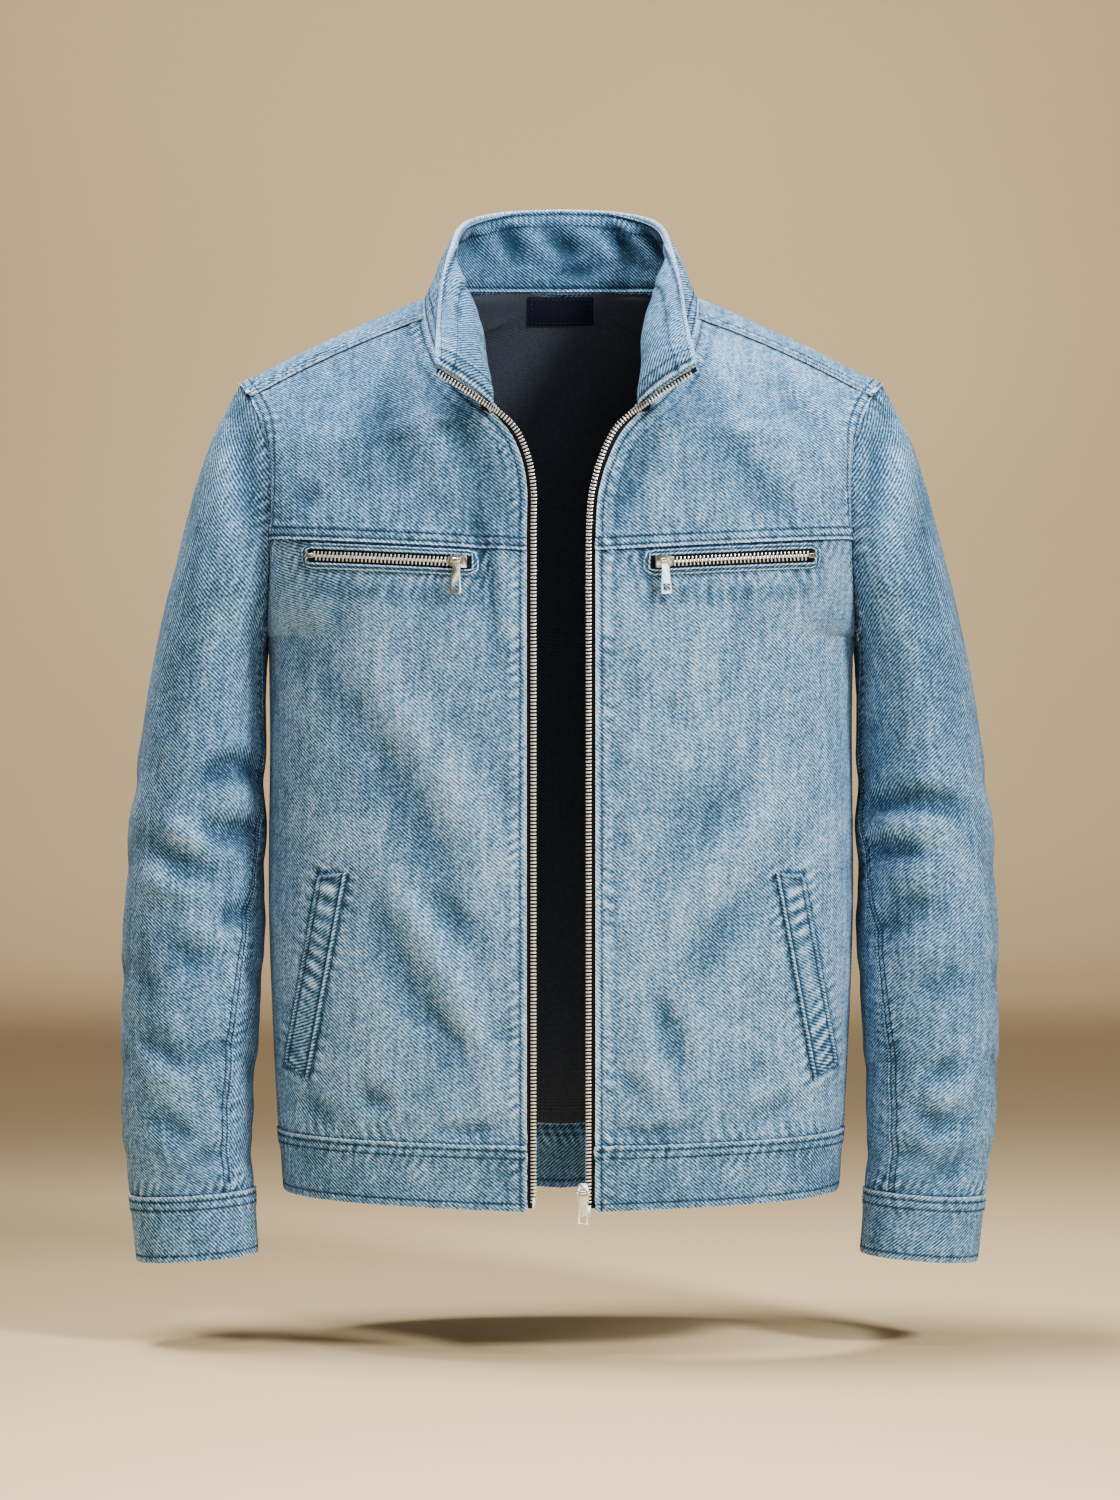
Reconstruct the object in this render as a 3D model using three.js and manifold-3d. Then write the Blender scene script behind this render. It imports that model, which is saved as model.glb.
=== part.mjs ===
// A light denim zip jacket with a stand collar, held out in its worn shape with nobody in it.
// Units are millimetres. +Z is up, the front faces -Y and the wearer's left is at +X.
// The origin lies midway between the two high points of the shoulders, where the wearer carries the garment.
//
// The body is a loft between rails: the front edge and the neckline on one side, the side seam and the armhole
// on the other. A station number runs up the rails and each sewn seam lies on one station. Every cloth piece is
// a patch of these lofts, thickened into a wall, so neighbours share their seam and stay a hair apart.

import * as THREE from 'three';
import { mergeVertices } from 'three/addons/utils/BufferGeometryUtils.js';
import Module from 'manifold-3d';

const wasm = await Module();
wasm.setup();

// ---------------------------------------------------------------- driving dimensions

const DENIM = 1.6; // one layer of denim
const WELT = 1.8; // folded strip round a pocket
const BAND = 3.0; // folded double denim of the cuffs and the waistband
const LINING = 1.0;
const SEAM_GAP = 0.3; // between two pieces sewn edge to edge
const UNDERARM_GAP = 0.5;
const ARM_GAP = 0.25; // a sleeve's share of the gap at its own seams
const LAY_GAP = 0.8; // between a panel and what is sewn on top of it
const LAYER_GAP = 0.4; // between a panel and the layer behind it
const TURN_STEP = 15; // degrees between two points of an armhole or a sleeve ring

const STATION = { hem: 0, waist: 1, underarm: 2, chest: 3, neckFront: 3.5, shoulder: 4 };
const BACK_STATION = { neck: 3.6, ridge: 4, shoulder: 5 };

// The armhole is an upright loop: turn 0 at the shoulder point, 90 in front, 180 under the arm.
const ARMHOLE = { x: 204, peak: 28.7, drop: 7, depth: 71, height: 91.8, z: -153.3 };
const ARMHOLE_TURN = { chestSeam: 105, shoulderSeam: 30, backNeck: 315 };

const BODY_FULLNESS = 2.4; // exponent of the body's oval section; 2 is an ellipse

// Front edge from the hem to the neck, then the neckline to the forward shoulder seam.
const FRONT_EDGE = [
  { at: 0.0, x: 24, y: -109, z: -648 },
  { at: 1.0, x: 24, y: -113, z: -602 },
  { at: 1.15, x: 24, y: -119, z: -549 },
  { at: 1.5, x: 24, y: -124, z: -424 },
  { at: 1.8, x: 24, y: -126, z: -317 },
  { at: 2.0, x: 24, y: -125, z: -246 },
  { at: 3.0, x: 24, y: -121, z: -187 },
  { at: 3.2, x: 24.6, y: -118, z: -152 },
  { at: 3.3, x: 27, y: -116, z: -135 },
  { at: 3.38, x: 31.5, y: -114.5, z: -120 },
  { at: 3.44, x: 38.5, y: -112.5, z: -105.5 },
  { at: 3.5, x: 50, y: -110, z: -92 },
  { at: 3.6, x: 63, y: -98, z: -81 },
  { at: 3.7, x: 77, y: -83, z: -66 },
  { at: 3.8, x: 87, y: -66, z: -50 },
  { at: 3.9, x: 93.5, y: -48, z: -33 },
  { at: 4.0, x: 97.5, y: -30, z: -16.4 },
];

const SIDE_SEAM = [
  { at: 0.0, x: 201, y: 0, z: -642 },
  { at: 1.0, x: 204, y: 0, z: -598 },
  { at: 1.15, x: 207, y: 0, z: -545 },
  { at: 1.5, x: 211, y: 0, z: -421 },
  { at: 1.8, x: 210, y: 0, z: -316 },
  { at: 2.0, x: 211, y: 0, z: -245 },
];

// Centre of the back up to the neck, then the back neckline over the shoulder to the forward seam.
const BACK_CENTRE = [
  { at: 0.0, x: 0, y: 112, z: -656 },
  { at: 1.0, x: 0, y: 116, z: -608 },
  { at: 1.15, x: 0, y: 119, z: -553 },
  { at: 1.5, x: 0, y: 123, z: -424 },
  { at: 2.0, x: 0, y: 125, z: -246 },
  { at: 2.6, x: 0, y: 121, z: -160 },
  { at: 3.2, x: 0, y: 104, z: -70 },
  { at: 3.6, x: 0, y: 73, z: 13 },
  { at: 3.7, x: 50, y: 66, z: 12.5 },
  { at: 3.8, x: 78, y: 50, z: 11 },
  { at: 3.9, x: 93, y: 28, z: 8 },
  { at: 4.0, x: 98.6, y: 0, z: 0 },
  { at: 5.0, x: 97.5, y: -30, z: -16.4 },
];

// How far a row bows out between its two rails: 1 is the full oval, 0 a straight line. The crown lifts its middle.
const ROW_BOW = [
  { at: 0, front: 1, back: 1, crown: 0 },
  { at: 2, front: 1, back: 1, crown: 0 },
  { at: 3, front: 0.8, back: 0.8, crown: 0 },
  { at: 3.5, front: 0.5, back: 0.5, crown: 1 },
  { at: 4, front: 0.15, back: 0.15, crown: 3.5 },
  { at: 5, front: 0.15, back: 0.15, crown: 3.5 },
];

// The collar's roll line and its top edge, from the zip round to the centre of the back.
const COLLAR = [
  { at: 0.0, rollX: 64, rollY: -122, rollZ: -77.5, topX: 89.8, topY: -130, topZ: -61 },
  { at: 0.1, rollX: 61, rollY: -109, rollZ: -62, topX: 88.8, topY: -124, topZ: -52 },
  { at: 0.2, rollX: 61, rollY: -90, rollZ: -43, topX: 87.5, topY: -112, topZ: -43 },
  { at: 0.3, rollX: 65, rollY: -68, rollZ: -20, topX: 86, topY: -88, topZ: -28 },
  { at: 0.4, rollX: 73, rollY: -48, rollZ: -1, topX: 84.5, topY: -60, topZ: -4 },
  { at: 0.5, rollX: 80.5, rollY: -26, rollZ: 13, topX: 81, topY: -28, topZ: 27 },
  { at: 0.62, rollX: 87, rollY: 3, rollZ: 28, topX: 77.5, topY: 6, topZ: 48 },
  { at: 0.72, rollX: 85, rollY: 32, rollZ: 37, topX: 71, topY: 38, topZ: 61 },
  { at: 0.81, rollX: 73, rollY: 57, rollZ: 42, topX: 59, topY: 64, topZ: 68.5 },
  { at: 0.9, rollX: 47, rollY: 74, rollZ: 44, topX: 37, topY: 81, topZ: 73 },
  { at: 1.0, rollX: 0, rollY: 80, rollZ: 44.5, topX: 0, topY: 87, topZ: 75 },
];
const COLLAR_JOIN = { shoulder: 0.5, ridge: 0.62 }; // where the collar passes the shoulder seam and the ridge

// From the front edge to the middle of the zip's teeth, along the front and then up the collar.
const TEETH_OFFSET = [
  { at: 0.0, x: -4.9, y: 0, z: 0 },
  { at: 3.2, x: -4.9, y: 0, z: 0 },
  { at: 3.3, x: -4.7, y: 0, z: 0.9 },
  { at: 3.38, x: -4.8, y: 0, z: 2.8 },
  { at: 3.44, x: -4.8, y: -0.5, z: 4 },
  { at: 3.5, x: -3.2, y: -2, z: 3.4 },
  { at: 3.75, x: -1.2, y: -4.4, z: -1.8 },
  { at: 4.0, x: -0.8, y: -4.2, z: -4.6 },
  { at: 4.25, x: 0, y: -4, z: -5.8 },
  { at: 4.5, x: 0.4, y: -3.8, z: -5.6 },
];

// The sleeve's outer and inner lines and its front and back depth, from the armhole to the cuff seam.
const SLEEVE = [
  { at: 0.0, outerX: 232.7, outerZ: -61.5, innerX: 211, innerZ: -245, frontY: -71, backY: 71 },
  { at: 0.1, outerX: 255, outerZ: -107, innerX: 213.5, innerZ: -256, frontY: -76, backY: 77 },
  { at: 0.22, outerX: 272.5, outerZ: -167, innerX: 214, innerZ: -270, frontY: -78, backY: 79 },
  { at: 0.34, outerX: 289, outerZ: -234, innerX: 214.5, innerZ: -294, frontY: -76, backY: 78 },
  { at: 0.46, outerX: 303, outerZ: -312, innerX: 214.5, innerZ: -337, frontY: -73, backY: 76 },
  { at: 0.58, outerX: 313, outerZ: -396, innerX: 214.5, innerZ: -406, frontY: -72, backY: 71 },
  { at: 0.68, outerX: 316.5, outerZ: -466, innerX: 215, innerZ: -468, frontY: -73, backY: 61 },
  { at: 0.78, outerX: 317, outerZ: -536, innerX: 219, innerZ: -537, frontY: -72, backY: 46 },
  { at: 0.89, outerX: 315, outerZ: -600, innerX: 222.5, innerZ: -598, frontY: -69, backY: 30 },
  { at: 1.0, outerX: 309.5, outerZ: -645, innerX: 220.5, innerZ: -640, frontY: -65, backY: 15 },
  { at: 1.1, outerX: 305, outerZ: -692, innerX: 217, innerZ: -686, frontY: -62, backY: 9 },
];
// The wearer's left sleeve leans in a little more towards its cuff.
const SLEEVE_LEAN = [
  { at: 0.6, x: 0 },
  { at: 0.78, x: -2 },
  { at: 1.0, x: -5 },
  { at: 1.1, x: -5.5 },
];
const NECK_SWAY = 3.2; // the open neck hangs this far to the wearer's left
const CUFF_SEAM = 1.0;
const CUFF_HEM = 1.1;
const ARMHOLE_BLEND = 0.3; // the armhole's own outline fades into the sleeve over this share

// Where the two sleeve seams run, in degrees round the sleeve.
const SLEEVE_SEAMS = [
  { at: 0.0, front: 150, back: 210 },
  { at: 0.46, front: 168, back: 218 },
  { at: 0.58, front: 158, back: 222 },
  { at: 0.68, front: 142, back: 224 },
  { at: 0.78, front: 136, back: 224 },
  { at: 1.0, front: 134, back: 224 },
  { at: 1.1, front: 134, back: 224 },
];

// Largest folds of the fronts, seen from in front on the +X side: from one end to the other, how wide and how deep.
// A depth below 0 is a hollow and one above 0 a ridge.
const LEFT_FRONT_FOLDS = [
  { x1: 60, z1: -90, x2: 42, z2: -160, width: 13, depth: -5 },
  { x1: 82, z1: -88, x2: 66, z2: -165, width: 14, depth: 3.5 },
  { x1: 105, z1: -70, x2: 165, z2: -160, width: 20, depth: -3 },
  { x1: 140, z1: -255, x2: 60, z2: -330, width: 34, depth: 3 },
  { x1: 50, z1: -300, x2: 120, z2: -380, width: 26, depth: -3 },
  { x1: 48, z1: -470, x2: 90, z2: -560, width: 16, depth: -3.5 },
  { x1: 120, z1: -440, x2: 70, z2: -520, width: 24, depth: 3 },
  { x1: 40, z1: -585, x2: 110, z2: -588, width: 9, depth: -4 },
  { x1: 150, z1: -585, x2: 190, z2: -560, width: 9, depth: -3.5 },
  { x1: 110, z1: -575, x2: 160, z2: -572, width: 14, depth: 3 },
];
const RIGHT_FRONT_FOLDS = [
  { x1: 78, z1: -92, x2: 40, z2: -150, width: 15, depth: -7 },
  { x1: 100, z1: -75, x2: 86, z2: -165, width: 18, depth: 3.5 },
  { x1: 150, z1: -90, x2: 160, z2: -165, width: 18, depth: -2.5 },
  { x1: 180, z1: -300, x2: 95, z2: -420, width: 17, depth: -4 },
  { x1: 95, z1: -420, x2: 45, z2: -520, width: 17, depth: -4 },
  { x1: 150, z1: -300, x2: 60, z2: -440, width: 26, depth: 3.5 },
  { x1: 130, z1: -430, x2: 70, z2: -560, width: 16, depth: -4 },
  { x1: 110, z1: -470, x2: 55, z2: -590, width: 20, depth: 3.5 },
  { x1: 185, z1: -575, x2: 120, z2: -592, width: 10, depth: -4 },
  { x1: 100, z1: -590, x2: 50, z2: -580, width: 10, depth: -3 },
];
const BACK_FOLDS = [
  { x1: -150, z1: -210, x2: -60, z2: -330, width: 26, depth: -3 },
  { x1: 150, z1: -210, x2: 70, z2: -340, width: 26, depth: -3 },
  { x1: -40, z1: -380, x2: -120, z2: -560, width: 24, depth: 3 },
  { x1: 60, z1: -400, x2: 110, z2: -570, width: 22, depth: 3 },
  { x1: -90, z1: -585, x2: 20, z2: -590, width: 10, depth: -4 },
  { x1: 50, z1: -588, x2: 160, z2: -580, width: 10, depth: -4 },
];
// Folds of a sleeve: two ends as a share of its length and a turn, then width and depth.
const SLEEVE_FOLDS = [
  { at1: 0.02, turn1: 55, at2: 0.36, turn2: 135, width: 11, depth: -7 },
  { at1: 0.05, turn1: 30, at2: 0.42, turn2: 80, width: 26, depth: 4 },
  { at1: 0.52, turn1: 150, at2: 0.5, turn2: 60, width: 13, depth: -6 },
  { at1: 0.56, turn1: 150, at2: 0.6, turn2: 50, width: 15, depth: 4.5 },
  { at1: 0.6, turn1: 150, at2: 0.6, turn2: 70, width: 12, depth: -6 },
  { at1: 0.64, turn1: 40, at2: 0.72, turn2: 125, width: 16, depth: 4 },
  { at1: 0.7, turn1: 130, at2: 0.67, turn2: 50, width: 12, depth: -4.5 },
  { at1: 0.74, turn1: 25, at2: 0.83, turn2: 130, width: 15, depth: -4.5 },
  { at1: 0.8, turn1: 30, at2: 0.9, turn2: 120, width: 15, depth: 4 },
  { at1: 0.86, turn1: 20, at2: 0.94, turn2: 110, width: 12, depth: -5 },
  { at1: 0.93, turn1: 130, at2: 0.97, turn2: 60, width: 10, depth: 3.5 },
  { at1: 0.5, turn1: 300, at2: 0.56, turn2: 230, width: 18, depth: -4 },
  { at1: 0.62, turn1: 310, at2: 0.66, turn2: 230, width: 18, depth: 4 },
  { at1: 0.8, turn1: 320, at2: 0.88, turn2: 235, width: 16, depth: -4 },
];

const CHEST_POCKET = { innerX: 57, outerX: 181.5, height: 18, below: 11.2, window: 9, rim: 3.6, sliderX: 71.5 };
const HAND_POCKET = { topX: 160, topZ: -413, bottomX: 187, bottomZ: -553, width: 20 };
const LABEL = { width: 48, height: 22, below: 1.5, thickness: 1.0 };

const TAPE = { thickness: 1.0, start: 0.6 };
const CHAIN = { width: 4.0, thickness: 3.2, foot: -637 };
const SLIDER = { length: 13.2, nose: 5.5, wide: 8.4, plate: 3.2, bar: 0.9, span: 6.4, leg: 1.7, rise: 2.8 };
const PULL = { length: 23, neck: 5.6, foot: 8.6, thickness: 1.4, eyeBore: 1.3, eye: 2.3, hole: 4.6, holeUp: 2.4 };
const MAIN_SLIDER = { x: 15.2, z: -634 };
const STOP = { width: 5, height: 3.4, thickness: 2.4 };
const ZIP_BOX = { width: 5, height: 9, thickness: 3.4, z: -647.5 };
const ZIP_PIN = { width: 2.2, height: 10, thickness: 2.4, z: -642.5 };

const MATERIALS = {
  denim: { color: 0x86a9c6, roughness: 0.9, metalness: 0 },
  denimInside: { color: 0x7f9db8, roughness: 0.92, metalness: 0 },
  lining: { color: 0x14161d, roughness: 0.85, metalness: 0 },
  label: { color: 0x0b0d18, roughness: 0.7, metalness: 0 },
  tape: { color: 0x1d2433, roughness: 0.85, metalness: 0 },
  nickel: { color: 0xd9d6cc, roughness: 0.25, metalness: 1 },
};

// ---------------------------------------------------------------- small mathematics

const radians = (degrees) => (degrees * Math.PI) / 180;
const mix = (a, b, share) => a + (b - a) * share;
const clamp01 = (value) => Math.min(1, Math.max(0, value));
const ease = (value) => {
  const share = clamp01(value);
  return share * share * (3 - 2 * share);
};
const vector = (x, y, z) => new THREE.Vector3(x, y, z);
const spread = (from, to, cells) => Array.from({ length: cells + 1 }, (_, i) => mix(from, to, i / cells));

// A smooth curve through one column of a table, with slopes limited so that it never overshoots.
function read(table, column, at) {
  const last = table.length - 1;
  if (at <= table[0].at) return table[0][column];
  if (at >= table[last].at) return table[last][column];
  const i = table.findIndex((row) => row.at > at) - 1;
  const slope = (k) => (table[k + 1][column] - table[k][column]) / (table[k + 1].at - table[k].at);
  const tangent = (k) => {
    if (k === 0) return slope(0);
    if (k === last) return slope(last - 1);
    const [before, after] = [slope(k - 1), slope(k)];
    return before * after <= 0 ? 0 : (2 * before * after) / (before + after);
  };
  const step = table[i + 1].at - table[i].at;
  const s = (at - table[i].at) / step;
  const [s2, s3] = [s * s, s * s * s];
  return (
    (2 * s3 - 3 * s2 + 1) * table[i][column] +
    (s3 - 2 * s2 + s) * step * tangent(i) +
    (3 * s2 - 2 * s3) * table[i + 1][column] +
    (s3 - s2) * step * tangent(i + 1)
  );
}

const readPoint = (table, at) => vector(read(table, 'x', at), read(table, 'y', at), read(table, 'z', at));

// ---------------------------------------------------------------- rails and lofts

// The armhole has straight sides between its points, so that body and sleeve share them exactly.
function armhole(turn) {
  const before = Math.floor(turn / TURN_STEP + 1e-6) * TURN_STEP;
  const share = (turn - before) / TURN_STEP;
  return share < 1e-6 ? armholeCurve(before) : armholeCurve(before).lerp(armholeCurve(before + TURN_STEP), share);
}

function armholeCurve(turn) {
  const up = Math.cos(radians(turn));
  const side = up > 0 ? ARMHOLE.peak * up ** 3 : ARMHOLE.drop * up ** 2;
  return vector(ARMHOLE.x + side, -ARMHOLE.depth * Math.sin(radians(turn)), ARMHOLE.z + ARMHOLE.height * up);
}

function frontSideRail(at) {
  if (at <= STATION.underarm) return readPoint(SIDE_SEAM, at);
  const { chestSeam, shoulderSeam } = ARMHOLE_TURN;
  const turn = at <= STATION.chest
    ? mix(180, chestSeam, at - STATION.underarm)
    : mix(chestSeam, shoulderSeam, at - STATION.chest);
  return armhole(turn);
}

function backSideRail(at) {
  if (at <= STATION.underarm) return readPoint(SIDE_SEAM, at);
  const { neck, ridge } = BACK_STATION;
  if (at > ridge) return armhole(mix(0, ARMHOLE_TURN.shoulderSeam, at - ridge));
  if (at > neck) return armhole(mix(ARMHOLE_TURN.backNeck, 360, (at - neck) / (ridge - neck)));
  return armhole(mix(180, ARMHOLE_TURN.backNeck, (at - STATION.underarm) / (neck - STATION.underarm)));
}

// One point of a row: across is 0 at the inner rail and 1 at the side, and bow sets how round the row is.
function rowPoint(inner, side, across, bow, crown) {
  const reach = Math.sin((across * Math.PI) / 2) ** (2 / BODY_FULLNESS);
  const round = Math.cos((across * Math.PI) / 2) ** (2 / BODY_FULLNESS);
  return vector(
    mix(inner.x, side.x, reach),
    mix(side.y, inner.y, mix(1 - reach, round, bow)),
    mix(inner.z, side.z, reach) + 4 * crown * reach * (1 - reach),
  );
}

// Height of the folds at a place: soft troughs and ridges that fade out at their ends.
function foldLift(folds, keyA, keyB, a, b) {
  let lift = 0;
  for (const fold of folds) {
    const [a1, b1, a2, b2] = [fold[`${keyA}1`], fold[`${keyB}1`], fold[`${keyA}2`], fold[`${keyB}2`]];
    const [da, db] = [a2 - a1, b2 - b1];
    const along = ((a - a1) * da + (b - b1) * db) / (da * da + db * db);
    const near = clamp01(along);
    const off = Math.hypot(a - a1 - near * da, b - b1 - near * db) / fold.width;
    const taper = 0.35 + 0.65 * Math.sin(Math.PI * near);
    lift += fold.depth * taper * Math.exp(-off * off);
  }
  return lift;
}

// Folds die out under the pockets, so that what is sewn there lies flat.
function pocketCalm(x, z) {
  const chest = Math.hypot(Math.max(0, CHEST_POCKET.innerX - x, x - CHEST_POCKET.outerX), Math.max(0, -215 - z, z + 170));
  const share = clamp01((z - HAND_POCKET.bottomZ) / (HAND_POCKET.topZ - HAND_POCKET.bottomZ));
  const handX = mix(HAND_POCKET.bottomX, HAND_POCKET.topX, share);
  const handZ = mix(HAND_POCKET.bottomZ, HAND_POCKET.topZ, share);
  const hand = Math.max(0, Math.hypot(x - handX, z - handZ) - 1.4 * HAND_POCKET.width);
  return ease(chest / 14) * ease(hand / 12);
}

// Folds also fade towards the sewn edges, where the seams hold the cloth.
function seamCalm(at, across, top) {
  const rise = ease((at - STATION.waist) / 0.06);
  const fall = ease((top - at) / 0.12);
  return rise * fall * ease(across / 0.1) * ease((1 - across) / 0.08);
}

function frontPlain(at, across) {
  return rowPoint(readPoint(FRONT_EDGE, at), frontSideRail(at), across, read(ROW_BOW, 'front', at), read(ROW_BOW, 'crown', at));
}

function backPlain(at, across) {
  return rowPoint(readPoint(BACK_CENTRE, at), backSideRail(at), across, read(ROW_BOW, 'back', at), read(ROW_BOW, 'crown', at));
}

// Outward normal of a loft, from two short steps on it.
function loftNormal(surface, at, across, outward) {
  const step = 0.004;
  const up = surface(Math.min(at + step, outward.top), across).sub(surface(Math.max(at - step, 0), across));
  const [a, b] = [Math.max(across - step, 0.002), Math.min(across + step, 0.998)];
  const aside = surface(at, b).sub(surface(at, a));
  return up.cross(aside).multiplyScalar(outward.sign).normalize();
}

function frontPoint(side, at, across) {
  const point = frontPlain(at, across);
  const folds = side > 0 ? LEFT_FRONT_FOLDS : RIGHT_FRONT_FOLDS;
  const calm = pocketCalm(point.x, point.z) * seamCalm(at, across, STATION.shoulder);
  const lift = foldLift(folds, 'x', 'z', point.x, point.z) * calm;
  const normal = loftNormal(frontPlain, at, across, { sign: -1, top: STATION.shoulder });
  const moved = mirrored(point.addScaledVector(normal, lift), side);
  return moved.setX(moved.x + neckSway(at, across));
}

function backPoint(side, at, across) {
  const point = backPlain(at, across);
  const calm = seamCalm(at, 1 - (1 - across), BACK_STATION.ridge);
  const hold = across < 0.1 ? ease((at - STATION.waist) / 0.06) : calm;
  const lift = foldLift(BACK_FOLDS, 'x', 'z', side * point.x, point.z) * hold;
  const normal = loftNormal(backPlain, at, across, { sign: 1, top: BACK_STATION.shoulder });
  if (across === 0) normal.setX(0); // both halves meet exactly on the centre line
  return mirrored(point.addScaledVector(normal, lift), side);
}

const mirrored = (point, side) => point.setX(side * point.x);

// The open neck sways to one side; the sway fades towards the chest seam, the shoulder and the armhole.
const neckSway = (at, across) =>
  NECK_SWAY * ease((at - 3.05) / 0.42) * (1 - ease((at - STATION.neckFront) / 0.45)) * (1 - across) ** 2;

// The neckline, from the zip over the shoulder to the centre of the back.
function collarSeam(at) {
  const { shoulder, ridge } = COLLAR_JOIN;
  if (at <= shoulder) return frontPlain(mix(STATION.neckFront, STATION.shoulder, at / shoulder), 0);
  if (at <= ridge) return backPlain(mix(BACK_STATION.shoulder, BACK_STATION.ridge, (at - shoulder) / (ridge - shoulder)), 0);
  return backPlain(mix(BACK_STATION.ridge, BACK_STATION.neck, (at - ridge) / (1 - ridge)), 0);
}

function collarPoint(side, at, up) {
  const rail = (name) => vector(read(COLLAR, `${name}X`, at), read(COLLAR, `${name}Y`, at), read(COLLAR, `${name}Z`, at));
  const weights = [(1 - up) * (1 - 2 * up), 4 * up * (1 - up), up * (2 * up - 1)];
  const point = collarSeam(at).multiplyScalar(weights[0])
    .addScaledVector(rail('roll'), weights[1])
    .addScaledVector(rail('top'), weights[2]);
  const moved = mirrored(point, side);
  return at < COLLAR_JOIN.shoulder ? moved.setX(moved.x + neckSway(STATION.neckFront + at, 0)) : moved;
}

function sleevePlain(at, turn) {
  const value = (column) => read(SLEEVE, column, at);
  const [up, forward] = [Math.cos(radians(turn)), Math.sin(radians(turn))];
  const ring = vector(
    mix(value('innerX'), value('outerX'), (1 + up) / 2),
    mix(value('backY'), value('frontY'), (1 + forward) / 2),
    mix(value('innerZ'), value('outerZ'), (1 + up) / 2),
  );
  if (at >= ARMHOLE_BLEND) return ring;
  const first = SLEEVE[0];
  const oval = vector(
    mix(first.innerX, first.outerX, (1 + up) / 2),
    mix(first.backY, first.frontY, (1 + forward) / 2),
    mix(first.innerZ, first.outerZ, (1 + up) / 2),
  );
  ring.add(armhole(turn).sub(oval).multiplyScalar(1 - ease(at / ARMHOLE_BLEND)));
  // Under the arm body and sleeve lie back to back, so the sleeve starts a gap further out there.
  return Math.abs(turn - 180) < 61 || Math.abs(turn + 180) < 61 ? ring.setX(ring.x + UNDERARM_GAP) : ring;
}

function sleevePoint(side, at, turn) {
  const point = sleevePlain(at, turn);
  const length = 640;
  const radius = 55;
  const wrapped = ((turn % 360) + 360) % 360;
  const around = radius * radians(wrapped);
  const folds = SLEEVE_FOLDS.map((fold) => ({
    a1: fold.at1 * length,
    b1: radius * radians(fold.turn1),
    a2: fold.at2 * length,
    b2: radius * radians(fold.turn2),
    width: fold.width,
    depth: fold.depth,
  }));
  const ends = ease(at / 0.05) * ease((CUFF_SEAM - at) / 0.04);
  const byBody = ease((Math.abs(wrapped - 185) - 22) / 20); // no folds where the sleeve lies against the body
  const lift = foldLift(folds, 'a', 'b', at * length, around) * ends * byBody;
  const step = 0.004;
  const down = sleevePlain(Math.min(at + step, CUFF_HEM), turn).sub(sleevePlain(Math.max(at - step, 0), turn));
  const aside = sleevePlain(at, turn + 1).sub(sleevePlain(at, turn - 1));
  const moved = mirrored(point.addScaledVector(aside.cross(down).normalize(), lift), side);
  const outer = (1 + Math.cos(radians(turn))) / 2;
  return side > 0 ? moved.setX(moved.x + read(SLEEVE_LEAN, 'x', at) * (0.45 + 0.55 * outer)) : moved;
}

// ---------------------------------------------------------------- walls made from grids of points

const keyOf = (p) => `${Math.round(p.x * 500)},${Math.round(p.y * 500)},${Math.round(p.z * 500)}`;

// Merges grids of points into one quad mesh. flip turns its outside round.
function quadMesh(grids, flip) {
  const index = new Map();
  const points = [];
  const faces = [];
  const idOf = (p) => {
    const key = keyOf(p);
    if (!index.has(key)) {
      index.set(key, points.length);
      points.push(p.clone());
    }
    return index.get(key);
  };
  for (const { rows, mirror } of grids) {
    const ids = rows.map((row) => row.map(idOf));
    for (let i = 0; i + 1 < ids.length; i += 1) {
      for (let j = 0; j + 1 < ids[i].length; j += 1) {
        const quad = [ids[i][j], ids[i][j + 1], ids[i + 1][j + 1], ids[i + 1][j]];
        faces.push(Boolean(mirror) === Boolean(flip) ? quad : quad.reverse());
      }
    }
  }
  return { points, faces };
}

const shared = new Map(); // point -> sum of the unit normals of all pieces that meet there

function addNormals({ points, faces }) {
  const own = points.map(() => vector(0, 0, 0));
  for (const face of faces) {
    const [a, b, c, d] = face.map((i) => points[i]);
    const normal = c.clone().sub(a).cross(d.clone().sub(b));
    for (const i of face) own[i].add(normal);
  }
  points.forEach((p, i) => {
    const key = keyOf(p);
    if (!shared.has(key)) shared.set(key, vector(0, 0, 0));
    shared.get(key).add(own[i].normalize());
  });
}

// Draws the open border of a mesh back from the mitre between it and its neighbour, so that both stay a gap apart.
function borderInset({ points, faces }, normals, inset) {
  const edges = new Map();
  faces.forEach((face, f) => {
    face.forEach((from, k) => {
      const to = face[(k + 1) % face.length];
      const key = from < to ? `${from}_${to}` : `${to}_${from}`;
      if (edges.has(key)) edges.get(key).once = false;
      else edges.set(key, { from, to, f, once: true });
    });
  });
  const border = [...edges.values()].filter((edge) => edge.once);
  const shifts = new Map();
  for (const { from, to, f } of border) {
    const [a, b, c, d] = faces[f].map((i) => points[i]);
    const face = c.clone().sub(a).cross(d.clone().sub(b)).normalize();
    const centre = a.clone().add(b).add(c).add(d).multiplyScalar(0.25);
    const along = points[to].clone().sub(points[from]).normalize();
    const inward = centre.sub(points[from]);
    inward.addScaledVector(along, -inward.dot(along)).normalize().sub(face);
    for (const i of [from, to]) {
      const away = along.clone().cross(normals[i]).normalize();
      if (away.dot(inward) < 0) away.negate();
      if (!shifts.has(i)) shifts.set(i, []);
      shifts.get(i).push(away);
    }
  }
  const result = new Map();
  for (const [i, directions] of shifts) {
    const sum = directions.reduce((total, d) => total.add(d), vector(0, 0, 0));
    result.set(i, sum.multiplyScalar(sum.length() > 1.5 ? inset / sum.length() : inset));
  }
  return { border, shifts: result };
}

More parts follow.
